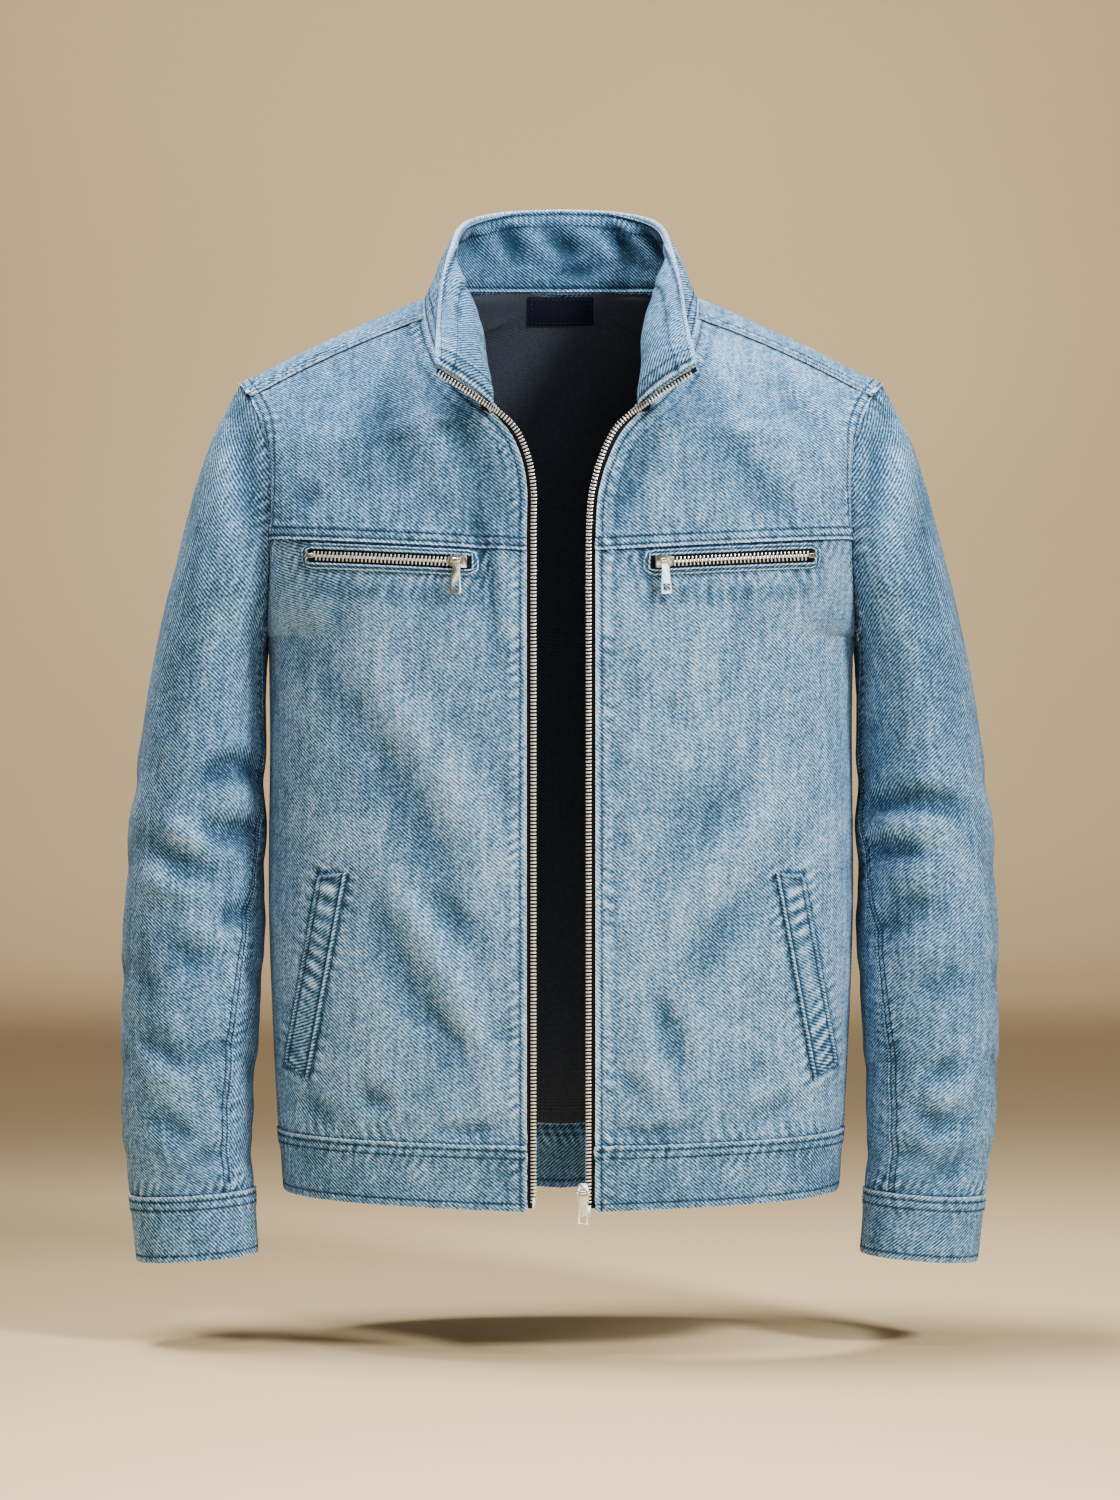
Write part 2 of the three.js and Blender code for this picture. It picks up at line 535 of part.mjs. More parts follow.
// A closed wall between two depths under the surface; a depth below 0 stands proud of it.
function wall(mesh, near, far, inset) {
  const { points, faces } = mesh;
  const normals = points.map((p) => shared.get(keyOf(p)).clone().normalize());
  const { border, shifts } = borderInset(mesh, normals, inset);
  const layer = (depth) => points.map((p, i) => {
    const moved = p.clone().addScaledVector(normals[i], -depth);
    return shifts.has(i) ? moved.add(shifts.get(i)) : moved;
  });
  const count = points.length;
  const triangles = [];
  for (const [a, b, c, d] of faces) {
    triangles.push(a, b, c, a, c, d);
    triangles.push(count + c, count + b, count + a, count + d, count + c, count + a);
  }
  for (const { from, to } of border) triangles.push(to, from, count + from, to, count + from, count + to);
  return solid([...layer(near), ...layer(far)], triangles);
}

function solid(vertices, triangles) {
  const geometry = new THREE.BufferGeometry();
  geometry.setAttribute('position', new THREE.Float32BufferAttribute(vertices.flatMap((v) => v.toArray()), 3));
  geometry.setIndex(triangles);
  return geometry;
}

// ---------------------------------------------------------------- hard pieces, joined with manifold-3d

function toManifold(geometry) {
  const bare = geometry.clone();
  bare.deleteAttribute('normal');
  bare.deleteAttribute('uv');
  const merged = mergeVertices(bare, 1e-4);
  return new wasm.Manifold(new wasm.Mesh({
    numProp: 3,
    vertProperties: new Float32Array(merged.attributes.position.array),
    triVerts: new Uint32Array(merged.index.array),
  }));
}

function fromManifold(body) {
  const mesh = body.getMesh();
  const geometry = new THREE.BufferGeometry();
  geometry.setAttribute('position', new THREE.BufferAttribute(Float32Array.from(mesh.vertProperties), 3));
  geometry.setIndex(new THREE.BufferAttribute(Uint32Array.from(mesh.triVerts), 1));
  return geometry;
}

const joined = (...geometries) => fromManifold(geometries.map(toManifold).reduce((a, b) => a.add(b)));

const block = (wide, deep, high, x, y, z) => new THREE.BoxGeometry(wide, deep, high).translate(x, y, z);

function plate(outline, holes, thickness) {
  const shape = new THREE.Shape(outline.map(([x, z]) => new THREE.Vector2(x, z)));
  for (const hole of holes) shape.holes.push(new THREE.Path(hole.map(([x, z]) => new THREE.Vector2(x, z))));
  return new THREE.ExtrudeGeometry(shape, { depth: thickness, bevelEnabled: false });
}

// ---------------------------------------------------------------- the object

const jacket = new THREE.Group();
const walls = [];
const materials = Object.fromEntries(
  Object.entries(MATERIALS).map(([name, settings]) => [name, new THREE.MeshStandardMaterial(settings)]),
);

function add(name, geometry, material) {
  const mesh = new THREE.Mesh(geometry, materials[material]);
  mesh.name = name;
  jacket.add(mesh);
  return mesh;
}

// Notes a cloth piece now; its wall is made once every neighbour has given its normals to the shared seams.
function sew(name, grids, material, near, far, { flip = false, inset = SEAM_GAP / 2 } = {}) {
  const mesh = quadMesh(grids, flip);
  walls.push({ name, mesh, material, near, far, inset });
  return mesh;
}

// The point of a sewn piece that is seen at (x, z) from in front or from behind.
function seenOn({ points, faces }, x, z) {
  for (const [a, b, c, d] of faces) {
    for (const [p, q, r] of [[a, b, c], [a, c, d]].map((three) => three.map((i) => points[i]))) {
      const area = (q.x - p.x) * (r.z - p.z) - (r.x - p.x) * (q.z - p.z);
      const u = ((x - p.x) * (r.z - p.z) - (r.x - p.x) * (z - p.z)) / area;
      const v = ((q.x - p.x) * (z - p.z) - (x - p.x) * (q.z - p.z)) / area;
      if (u >= -1e-6 && v >= -1e-6 && u + v <= 1 + 1e-6) {
        return p.clone().addScaledVector(q.clone().sub(p), u).addScaledVector(r.clone().sub(p), v);
      }
    }
  }
  throw new Error(`nothing is seen at ${x}, ${z}`);
}

const SIDES = [
  { side: 1, name: 'left' },
  { side: -1, name: 'right' },
];

const ACROSS = [0, 0.03, 0.075, 0.14, 0.22, 0.31, 0.41, 0.52, 0.65, 0.79, 0.9, 1]; // close together near the zip
const NECK_CELLS = 6; // of the back neckline, from its centre to the high point of the shoulder
const WAIST_ROWS = [STATION.hem, 0.5, STATION.waist];
const LOWER_ROWS = spread(STATION.waist, STATION.underarm, 14);
const CHEST_ROWS = spread(STATION.underarm, STATION.chest, 5);
const YOKE_ROWS = spread(STATION.chest, STATION.shoulder, 10);
const panels = {};
const grid = (rows, columns, point) => rows.map((at) => columns.map((across) => point(at, across)));

function frontPieces() {
  for (const { side, name } of SIDES) {
    const patch = (rows) => [{ rows: grid(rows, ACROSS, (at, across) => frontPoint(side, at, across)), mirror: side < 0 }];
    panels[name] = sew(`front_panel_${name}`, patch([...LOWER_ROWS, ...CHEST_ROWS.slice(1)]), 'denim', 0, DENIM);
    sew(`front_yoke_${name}`, patch(YOKE_ROWS), 'denim', 0, DENIM);
    sew(`waistband_front_${name}`, patch(WAIST_ROWS), 'denim', 0, BAND);
  }
}

function backPieces() {
  const armRows = [...spread(STATION.underarm, BACK_STATION.neck, (ARMHOLE_TURN.backNeck - 180) / TURN_STEP),
    ...spread(BACK_STATION.neck, BACK_STATION.ridge, NECK_CELLS).slice(1)];
  const wrapRows = spread(BACK_STATION.ridge, BACK_STATION.shoulder, ARMHOLE_TURN.shoulderSeam / TURN_STEP);
  const half = (rows, side, columns) => ({ rows: grid(rows, columns, (at, across) => backPoint(side, at, across)), mirror: side > 0 });
  const both = (rows, columns = ACROSS) => [half(rows, 1, columns), half(rows, -1, columns)];
  const rows = [...LOWER_ROWS, ...armRows.slice(1), ...wrapRows.slice(1)];
  panels.back = sew('back_panel', both(rows), 'denim', 0, DENIM);
  sew('waistband_back', both(WAIST_ROWS), 'denim', 0, BAND);
  const lined = [...LOWER_ROWS, ...armRows.slice(1)].filter((at) => at <= BACK_STATION.ridge);
  sew('back_lining', both(lined, ACROSS.filter((across) => across !== 0.03 && across < 1)), 'lining', DENIM + LAYER_GAP, DENIM + LAYER_GAP + LINING);
}

function sleevePieces() {
  const rows = spread(0, CUFF_SEAM, 19);
  const turns = (at, from, to, cells) => spread(from(at), to(at), cells);
  const front = (at) => read(SLEEVE_SEAMS, 'front', at);
  const back = (at) => read(SLEEVE_SEAMS, 'back', at);
  const upperTurns = (at) => turns(at, (s) => back(s) - 360, front, 20);
  const underTurns = (at) => turns(at, front, back, 4);
  for (const { side, name } of SIDES) {
    const patch = (stations, turnsAt) => [{
      rows: stations.map((at) => turnsAt(at).map((turn) => sleevePoint(side, at, turn))),
      mirror: side < 0,
    }];
    sew(`sleeve_upper_${name}`, patch(rows, upperTurns), 'denim', 0, DENIM, { inset: ARM_GAP });
    sew(`sleeve_under_${name}`, patch(rows, underTurns), 'denim', 0, DENIM, { inset: ARM_GAP });
    const ringTurns = (at) => [...upperTurns(at), ...underTurns(at).slice(1)];
    sew(`cuff_${name}`, patch(spread(CUFF_SEAM, CUFF_HEM, 2), ringTurns), 'denim', 0, BAND);
  }
}

function collarPieces() {
  const { shoulder, ridge } = COLLAR_JOIN;
  const around = [...spread(0, shoulder, 5), ...spread(shoulder, ridge, 2).slice(1), ...spread(ridge, 1, NECK_CELLS).slice(1)];
  const ups = spread(0, 1, 4);
  const half = (side, heights) => ({
    rows: grid(heights, around, (up, at) => collarPoint(side, at, up)),
    mirror: side < 0,
  });
  sew('collar', [half(1, ups), half(-1, ups)], 'denim', 0, DENIM);
  sew('collar_facing', [half(1, ups), half(-1, ups)], 'denimInside', DENIM + LAYER_GAP, 2 * DENIM + LAYER_GAP);
}

// ---------------------------------------------------------------- pockets

// Middle line of the chest zip: it runs a fixed distance under the yoke seam.
function chestLine(x) {
  const [inner, outer] = [readPoint(FRONT_EDGE, STATION.chest), frontSideRail(STATION.chest)];
  return mix(inner.z, outer.z, (x - inner.x) / (outer.x - inner.x)) - CHEST_POCKET.below;
}

// The point of a front at a distance x from the middle of the jacket and at the height z.
const onFront = (side, x, z) => seenOn(panels[side > 0 ? 'left' : 'right'], side * x, z);

// A strip on a front: columns of x, and heights above and below a middle line.
function frontPatch(side, columns, line, heights) {
  return { rows: heights.map((h) => columns.map((x) => onFront(side, x, line(x) + h))), mirror: side < 0 };
}

function chestPockets() {
  const { innerX, outerX, height, window: gap, rim } = CHEST_POCKET;
  const long = [innerX, ...spread(innerX + rim, outerX - rim, 9), outerX];
  const inside = long.slice(1, -1);
  for (const { side, name } of SIDES) {
    const half = height / 2;
    const strips = [
      frontPatch(side, long, chestLine, [gap / 2, half]),
      frontPatch(side, long, chestLine, [-half, -gap / 2]),
      frontPatch(side, [innerX, innerX + rim], chestLine, [-gap / 2, gap / 2]),
      frontPatch(side, [outerX - rim, outerX], chestLine, [-gap / 2, gap / 2]),
    ];
    sew(`chest_welt_${name}`, strips, 'denim', -LAY_GAP - WELT, -LAY_GAP);
    sew(`chest_zip_tape_${name}`, [frontPatch(side, inside, chestLine, [-gap / 2, gap / 2])], 'tape', -LAY_GAP - TAPE.thickness, -LAY_GAP);
  }
}

function handPockets() {
  const { topX, topZ, bottomX, bottomZ, width } = HAND_POCKET;
  const length = Math.hypot(topX - bottomX, topZ - bottomZ);
  const [alongX, alongZ] = [(bottomX - topX) / length, (bottomZ - topZ) / length];
  for (const { side, name } of SIDES) {
    const place = (down, out) => onFront(side, topX + alongX * down - alongZ * out, topZ + alongZ * down + alongX * out);
    const rows = spread(length, 0, 14).map((down) => spread(-width / 2, width / 2, 4).map((out) => place(down, out)));
    sew(`hand_pocket_welt_${name}`, [{ rows, mirror: side < 0 }], 'denim', -LAY_GAP - WELT, -LAY_GAP);
  }
}

function neckLabel() {
  const top = readPoint(BACK_CENTRE, BACK_STATION.neck).z - LABEL.below;
  const rows = spread(top - LABEL.height, top, 4).map((z) => spread(-LABEL.width / 2, LABEL.width / 2, 6).map((x) => seenOn(panels.back, x, z)));
  const depth = DENIM + LAYER_GAP + LINING + LAY_GAP;
  sew('neck_label', [{ rows, mirror: true }], 'label', depth, depth + LABEL.thickness);
}

// ---------------------------------------------------------------- front zip

// Points of the zip edge from hem to collar top, with the way across the tape and the way out of the cloth.
function zipPath(side) {
  const body = [...spread(0, 1, 2), ...spread(1, 3, 10).slice(1), 3.1, 3.2, 3.26, 3.32, 3.37, 3.42, 3.46];
  const places = [
    ...body.map((at) => ({ at, edge: frontPoint(side, at, 0) })),
    ...[0, 0.12, 0.25, 0.4, 0.55, 0.7, 0.85, 0.96].map((up) => ({ at: STATION.neckFront + up, edge: collarPoint(side, 0, up) })),
  ];
  return places.map(({ at, edge }, i) => {
    const before = places[Math.max(0, i - 1)].edge;
    const after = places[Math.min(places.length - 1, i + 1)].edge;
    const tangent = after.clone().sub(before).normalize();
    const across = mirrored(readPoint(TEETH_OFFSET, at), side);
    across.addScaledVector(tangent, -across.dot(tangent));
    const reach = across.length();
    across.normalize();
    return { edge, across, reach, out: tangent.clone().cross(across).multiplyScalar(side).normalize() };
  });
}

// A bar along the zip: from and to give its two sides across the tape, low and high its faces out of the cloth.
function zipBar(path, side, from, to, low, high) {
  const corner = ({ edge, across, out }, a, o) => edge.clone().addScaledVector(across, a).addScaledVector(out, o);
  const vertices = path.flatMap((place) => [
    corner(place, from(place), low), corner(place, to(place), low),
    corner(place, to(place), high), corner(place, from(place), high),
  ]);
  const triangles = [];
  const quad = (a, b, c, d) => (side > 0 ? triangles.push(a, b, c, a, c, d) : triangles.push(a, c, b, a, d, c));
  for (let i = 0; i + 1 < path.length; i += 1) {
    for (let k = 0; k < 4; k += 1) {
      const [a, b] = [4 * i + k, 4 * i + ((k + 1) % 4)];
      quad(a, b, b + 4, a + 4);
    }
  }
  const end = 4 * (path.length - 1);
  quad(3, 2, 1, 0);
  quad(end, end + 1, end + 2, end + 3);
  return solid(vertices, triangles);
}

function frontZip() {
  const half = CHAIN.width / 2;
  const middle = -DENIM / 2;
  for (const { side, name } of SIDES) {
    const path = zipPath(side);
    const tapeEnd = ({ reach }) => reach - half - SEAM_GAP;
    add(`zip_tape_${name}`, zipBar(path, side, () => TAPE.start, tapeEnd, middle - TAPE.thickness / 2, middle + TAPE.thickness / 2), 'tape');
    const lowest = side > 0 ? MAIN_SLIDER.z + SLIDER.length / 2 + SEAM_GAP : CHAIN.foot;
    const first = path.findIndex(({ edge }) => edge.z > lowest);
    const share = (lowest - path[first - 1].edge.z) / (path[first].edge.z - path[first - 1].edge.z);
    const foot = { ...path[first], edge: path[first - 1].edge.clone().lerp(path[first].edge, share) };
    const teeth = zipBar([foot, ...path.slice(first)], side, ({ reach }) => reach - half, ({ reach }) => reach + half, middle - CHAIN.thickness / 2, middle + CHAIN.thickness / 2);
    add(`zip_chain_${name}`, teeth, 'nickel');
  }
}

// ---------------------------------------------------------------- sliders, pulls and stops

// In its own frame a slider lies in XZ with its nose to +X and its face to -Y; the bar runs along X or Z.
function sliderBody(barAlongNose) {
  const { length, nose, wide, plate: deep, bar, span, leg, rise } = SLIDER;
  const outline = [
    [-length / 2, -wide / 2], [length / 6, -wide / 2], [length / 2, -nose / 2],
    [length / 2, nose / 2], [length / 6, wide / 2], [-length / 2, wide / 2],
  ];
  const base = plate(outline, [], deep).rotateX(Math.PI / 2);
  const barY = -deep - rise;
  const legLength = rise + bar;
  const reach = span / 2 + leg / 2;
  const rod = new THREE.CylinderGeometry(bar, bar, span + leg, 12).rotateZ(Math.PI / 2).translate(0, barY, 0);
  const legs = [-1, 1].map((end) => block(leg, legLength + 0.5, 2 * bar, end * reach, -deep - legLength / 2 + 0.25, 0));
  const bail = joined(rod, ...legs);
  if (!barAlongNose) bail.rotateY(Math.PI / 2);
  return joined(base, bail);
}

// In its own frame a pull hangs to -Z from its eye, which lies on the X axis.
function pullTab() {
  const { length, neck, foot, thickness, eyeBore, eye, hole, holeUp } = PULL;
  const top = -eye + 0.5;
  const outline = [
    [-neck / 2, top], [-neck / 2, top - 5], [-foot / 2, -length + 0.8], [-foot / 2 + 0.8, -length],
    [foot / 2 - 0.8, -length], [foot / 2, -length + 0.8], [neck / 2, top - 5], [neck / 2, top],
  ];
  const low = -length + holeUp;
  const window = [[-hole / 2, low], [hole / 2, low], [hole / 2, low + hole], [-hole / 2, low + hole]];
  const tab = plate(outline, [window], thickness).rotateX(Math.PI / 2).translate(0, thickness / 2, 0);
  const ring = new THREE.Shape().absarc(0, 0, eye, 0, 2 * Math.PI);
  ring.holes.push(new THREE.Path().absarc(0, 0, eyeBore, 0, 2 * Math.PI));
  const barrel = new THREE.ExtrudeGeometry(ring, { depth: neck - 0.4, bevelEnabled: false, curveSegments: 8 })
    .translate(0, 0, -(neck - 0.4) / 2)
    .rotateY(Math.PI / 2);
  return joined(tab, barrel);
}

function placed(geometry, origin, x, y, z) {
  return geometry.applyMatrix4(new THREE.Matrix4().makeBasis(x, y, z).setPosition(origin));
}

// A slider with its pull. nose is the way the nose points and bar the way the bail's bar runs.
function sliderAndPull(name, seat, nose, out, barAlongNose) {
  const inward = out.clone().negate();
  const third = nose.clone().cross(inward);
  add(`${name}_slider`, placed(sliderBody(barAlongNose), seat, nose, inward, third), 'nickel');
  const hinge = seat.clone().addScaledVector(out, SLIDER.plate + SLIDER.rise);
  let axis = (barAlongNose ? nose : third).clone();
  if (axis.x < 0) axis = axis.negate();
  const down = vector(0, 0, -1);
  down.addScaledVector(axis, -down.dot(axis)).normalize();
  const up = down.clone().negate();
  const pull = add(`${name}_pull`, placed(pullTab(), hinge, axis, up.clone().cross(axis), up), 'nickel');
  pull.userData.turnsAbout = { point: hinge.toArray(), axis: axis.toArray() };
}

// Directions on a front at its chest zip: along the zip away from the middle, up, and out of the cloth.
function chestFrame(side, x) {
  const origin = onFront(side, x, chestLine(x));
  const along = onFront(side, x + 4, chestLine(x + 4)).sub(onFront(side, x - 4, chestLine(x - 4))).normalize();
  const rise = onFront(side, x, chestLine(x) + 3).sub(onFront(side, x, chestLine(x) - 3));
  const out = along.clone().cross(rise).multiplyScalar(side).normalize();
  return { origin, along, out, up: out.clone().cross(along).multiplyScalar(side).normalize() };
}

function zipHardware() {
  const tapeTop = LAY_GAP + TAPE.thickness + SEAM_GAP;
  for (const { side, name } of SIDES) {
    const { sliderX, outerX, rim } = CHEST_POCKET;
    const { origin, along, out } = chestFrame(side, sliderX);
    const seat = origin.clone().addScaledVector(out, tapeTop + 0.2);
    sliderAndPull(`chest_${name}`, seat, along, out, true);
    const end = chestFrame(side, outerX - rim - STOP.width / 2 - 1);
    const stopSeat = end.origin.clone().addScaledVector(end.out, tapeTop);
    const stop = block(STOP.width, STOP.thickness, STOP.height, 0, -STOP.thickness / 2, 0);
    const right = end.along.clone().multiplyScalar(side);
    add(`chest_stop_${name}`, placed(stop, stopSeat, right, end.out.clone().negate(), end.up), 'nickel');
  }
  const hem = readPoint(FRONT_EDGE, 0);
  const depth = hem.y + DENIM / 2;
  sliderAndPull('main', vector(MAIN_SLIDER.x, depth - 1.4, MAIN_SLIDER.z), vector(0, 0, 1), vector(0, -1, 0), false);
  const teeth = hem.x + TEETH_OFFSET[0].x;
  add('zip_box', block(ZIP_BOX.width, ZIP_BOX.thickness, ZIP_BOX.height, teeth - 0.6, depth, ZIP_BOX.z), 'nickel');
  add('zip_pin', block(ZIP_PIN.width, ZIP_PIN.thickness, ZIP_PIN.height, -teeth, depth, ZIP_PIN.z), 'nickel');
}

frontPieces();
backPieces();
sleevePieces();
collarPieces();
chestPockets();
handPockets();
neckLabel();
frontZip();
zipHardware();

for (const { mesh, near } of walls) if (near === 0) addNormals(mesh);
for (const { mesh, near } of walls) if (near !== 0 && !mesh.points.every((p) => shared.has(keyOf(p)))) addNormals(mesh);
for (const { name, mesh, material, near, far, inset } of walls) add(name, wall(mesh, near, far, inset), material);

export default jacket;
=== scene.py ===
# A light-washed denim zip jacket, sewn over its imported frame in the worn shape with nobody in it.
# Tables and small sizes are in millimetres in the frame's axes: +Z up, front at -Y, the wearer's left at +X.
# Every cloth piece is a patch of the same lofts as its solid, with its creases, felled seams and stitching.

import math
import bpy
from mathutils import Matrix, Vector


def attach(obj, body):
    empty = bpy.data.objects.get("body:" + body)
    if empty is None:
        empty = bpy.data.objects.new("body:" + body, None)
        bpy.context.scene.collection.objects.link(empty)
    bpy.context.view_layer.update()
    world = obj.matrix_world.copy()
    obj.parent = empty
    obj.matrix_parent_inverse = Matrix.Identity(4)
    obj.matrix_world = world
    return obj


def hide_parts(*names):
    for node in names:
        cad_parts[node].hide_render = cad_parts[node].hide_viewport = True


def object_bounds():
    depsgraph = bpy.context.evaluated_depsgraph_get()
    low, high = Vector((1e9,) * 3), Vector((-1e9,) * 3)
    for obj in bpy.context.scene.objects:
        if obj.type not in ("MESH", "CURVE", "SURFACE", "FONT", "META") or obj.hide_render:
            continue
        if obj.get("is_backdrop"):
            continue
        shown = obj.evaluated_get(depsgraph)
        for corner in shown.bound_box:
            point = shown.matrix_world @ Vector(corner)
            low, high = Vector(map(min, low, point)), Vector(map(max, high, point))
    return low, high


bl_info = {
    "name": "Denim Zip Jacket",
    "version": (1, 0, 0),
    "blender": (4, 5, 0),
    "location": "View3D > Sidebar > Jacket",
    "description": "Sews a washed denim jacket with zips, pockets and stitching over its packed frame",
    "category": "Add Mesh",
}

from functools import cache

import bpy
import numpy as np
from mathutils import Vector

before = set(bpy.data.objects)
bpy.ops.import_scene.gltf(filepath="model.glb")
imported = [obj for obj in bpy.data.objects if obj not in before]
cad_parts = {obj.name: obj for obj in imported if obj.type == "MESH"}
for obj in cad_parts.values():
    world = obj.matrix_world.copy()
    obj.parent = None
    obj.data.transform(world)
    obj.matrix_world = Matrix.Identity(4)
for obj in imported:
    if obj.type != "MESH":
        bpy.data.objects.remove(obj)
CAD_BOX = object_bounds()
BODY = "jacket"
MM = 0.001
SIDES = {"left": 1, "right": -1}
ZIPS = ("chest_left", "chest_right", "main")
SETTLE_REACH = 15.0
WELD = 0.05  # corners of cloth that are nearer to each other than this are joined
ARM_CALM, SHOULDER_CALM, SIDE_CALM = 22, 16, 14  # how far from these seams the creases have faded out
TUBE_SIDES = 14
LINING_CELL = 4.6
BLOCK_BEVEL = 0.14  # share of the smallest side
GRAIN_LINE = 110.0  # x of the line from which the warp of the fronts and the wings is laid
FINISHED = {"FINISHED"}

# ------------------------------------------------------------------ the jacket's form
# Rails of the body: station 0 is the hem, 1 the waistband seam, 2 the underarm, 3 the chest seam.

FRONT_EDGE = [  # station, x, y, z: up the zip to 3.5 at the neck, then along the neckline to the shoulder
    (0.0, 24, -109, -648), (1.0, 24, -113, -602), (1.15, 24, -119, -549), (1.5, 24, -124, -424),
    (1.8, 24, -126, -317), (2.0, 24, -125, -246), (3.0, 24, -121, -187), (3.2, 24.6, -118, -152),
    (3.3, 27, -116, -135), (3.38, 31.5, -114.5, -120), (3.44, 38.5, -112.5, -105.5), (3.5, 50, -110, -92),
    (3.6, 63, -98, -81), (3.7, 77, -83, -66), (3.8, 87, -66, -50), (3.9, 93.5, -48, -33),
    (4.0, 97.5, -30, -16.4),
]
SIDE_SEAM = [
    (0.0, 201, 0, -642), (1.0, 204, 0, -598), (1.15, 207, 0, -545), (1.5, 211, 0, -421), (1.8, 210, 0, -316),
    (2.0, 211, 0, -245),
]
BACK_CENTRE = [  # up the middle of the back to 3.6, then along the neckline, over the ridge at 4, to 5
    (0.0, 0, 112, -656), (1.0, 0, 116, -608), (1.15, 0, 119, -553), (1.5, 0, 123, -424), (2.0, 0, 125, -246),
    (2.6, 0, 121, -160), (3.2, 0, 104, -70), (3.6, 0, 73, 13), (3.7, 50, 66, 12.5), (3.8, 78, 50, 11),
    (3.9, 93, 28, 8), (4.0, 98.6, 0, 0), (5.0, 97.5, -30, -16.4),
]
ROW_BOW = [  # station, how far a row bows out between its rails, how far its middle is lifted
    (0, 1, 0), (2, 1, 0), (3, 0.8, 0), (3.5, 0.5, 1), (4, 0.15, 3.5), (5, 0.15, 3.5),
]
NECK, BACK_NECK, SHOULDER, BACK_SHOULDER = 3.5, 3.6, 4.0, 5.0
FULLNESS = 2.4  # exponent of the body's oval
ARMHOLE = {"x": 204, "peak": 28.7, "drop": 7, "depth": 71, "height": 91.8, "z": -153.3}
CHEST_TURN, SHOULDER_TURN, NECK_TURN = 105, 30, 315  # degrees round the armhole
NECK_SWAY = 3.2

COLLAR = [  # share from the zip to the centre back, roll line x y z, top edge x y z
    (0.0, 64, -122, -77.5, 89.8, -130, -61), (0.1, 61, -109, -62, 88.8, -124, -52),
    (0.2, 61, -90, -43, 87.5, -112, -43), (0.3, 65, -68, -20, 86, -88, -28),
    (0.4, 73, -48, -1, 84.5, -60, -4), (0.5, 80.5, -26, 13, 81, -28, 27),
    (0.62, 87, 3, 28, 77.5, 6, 48), (0.72, 85, 32, 37, 71, 38, 61),
    (0.81, 73, 57, 42, 59, 64, 68.5), (0.9, 47, 74, 44, 37, 81, 73), (1.0, 0, 80, 44.5, 0, 87, 75),
]
COLLAR_SHOULDER, COLLAR_RIDGE = 0.5, 0.62
TEETH_OFFSET = [  # station, way from the front edge to the middle of the zip's teeth
    (0.0, -4.9, 0, 0), (3.2, -4.9, 0, 0), (3.3, -4.7, 0, 0.9), (3.38, -4.8, 0, 2.8), (3.44, -4.8, -0.5, 4),
    (3.5, -3.2, -2, 3.4), (3.75, -1.2, -4.4, -1.8), (4.0, -0.8, -4.2, -4.6), (4.25, 0, -4, -5.8),
    (4.5, 0.4, -3.8, -5.6),
]
SLEEVE = [  # share of the length, outer x z, inner x z, front y, back y
    (0.0, 232.7, -61.5, 211, -245, -71, 71), (0.1, 255, -107, 213.5, -256, -76, 77),
    (0.22, 272.5, -167, 214, -270, -78, 79), (0.34, 289, -234, 214.5, -294, -76, 78),
    (0.46, 303, -312, 214.5, -337, -73, 76), (0.58, 313, -396, 214.5, -406, -72, 71),
    (0.68, 316.5, -466, 215, -468, -73, 61), (0.78, 317, -536, 219, -537, -72, 46),
    (0.89, 315, -600, 222.5, -598, -69, 30), (1.0, 309.5, -645, 220.5, -640, -65, 15),
    (1.1, 305, -692, 217, -686, -62, 9),
]
SLEEVE_LEAN = [(0.6, 0), (0.78, -2), (1.0, -5), (1.1, -5.5)]
SLEEVE_SEAMS = [  # share, turn of the front seam, turn of the back seam
    (0.0, 150, 210), (0.46, 168, 218), (0.58, 158, 222), (0.68, 142, 224), (0.78, 136, 224), (1.0, 134, 224),
    (1.1, 134, 224),
]
SLEEVE_GRAIN = [  # height, middle x and y, reach in x and y: the upright ovals round which the grain is laid
    (-692, 261, -26.5, 44, 36), (-645, 265, -25, 44.5, 40), (-600, 269, -20, 46, 50),
    (-536, 268, -13, 49, 59), (-466, 266, -6, 51, 67), (-400, 264, -1, 49, 71),
    (-300, 257, 0, 44, 76), (-245, 240, 0, 54, 76),
    (-167, 212, 0, 62, 73), (-107, 208, 0, 48, 61), (-75, 210, 0, 31, 38), (-61, 212, 0, 22, 22),
]
ARMHOLE_BLEND = 0.3
CUFF_SEAM, CUFF_HEM = 1.0, 1.1
UNDERARM_GAP = 0.5


def mix(a, b, share):
    return a + (b - a) * share


def ease(value):
    share = np.clip(value, 0, 1)
    return share * share * (3 - 2 * share)


def bell(value):
    return np.exp(-np.square(value))


def unit(vectors):
    """Vectors of length 1."""
    return vectors / np.maximum(np.linalg.norm(vectors, axis=-1, keepdims=True), 1e-9)


def square_to(vectors, ways):
    """Unit vectors that are square to ways, in the planes that they share with vectors."""
    return unit(vectors - (vectors * ways).sum(axis=-1, keepdims=True) * ways)


def columns_at(at, run, values):
    """The columns of a table of values at places along its run."""
    return np.stack([np.interp(at, run, column) for column in values.T], axis=1)


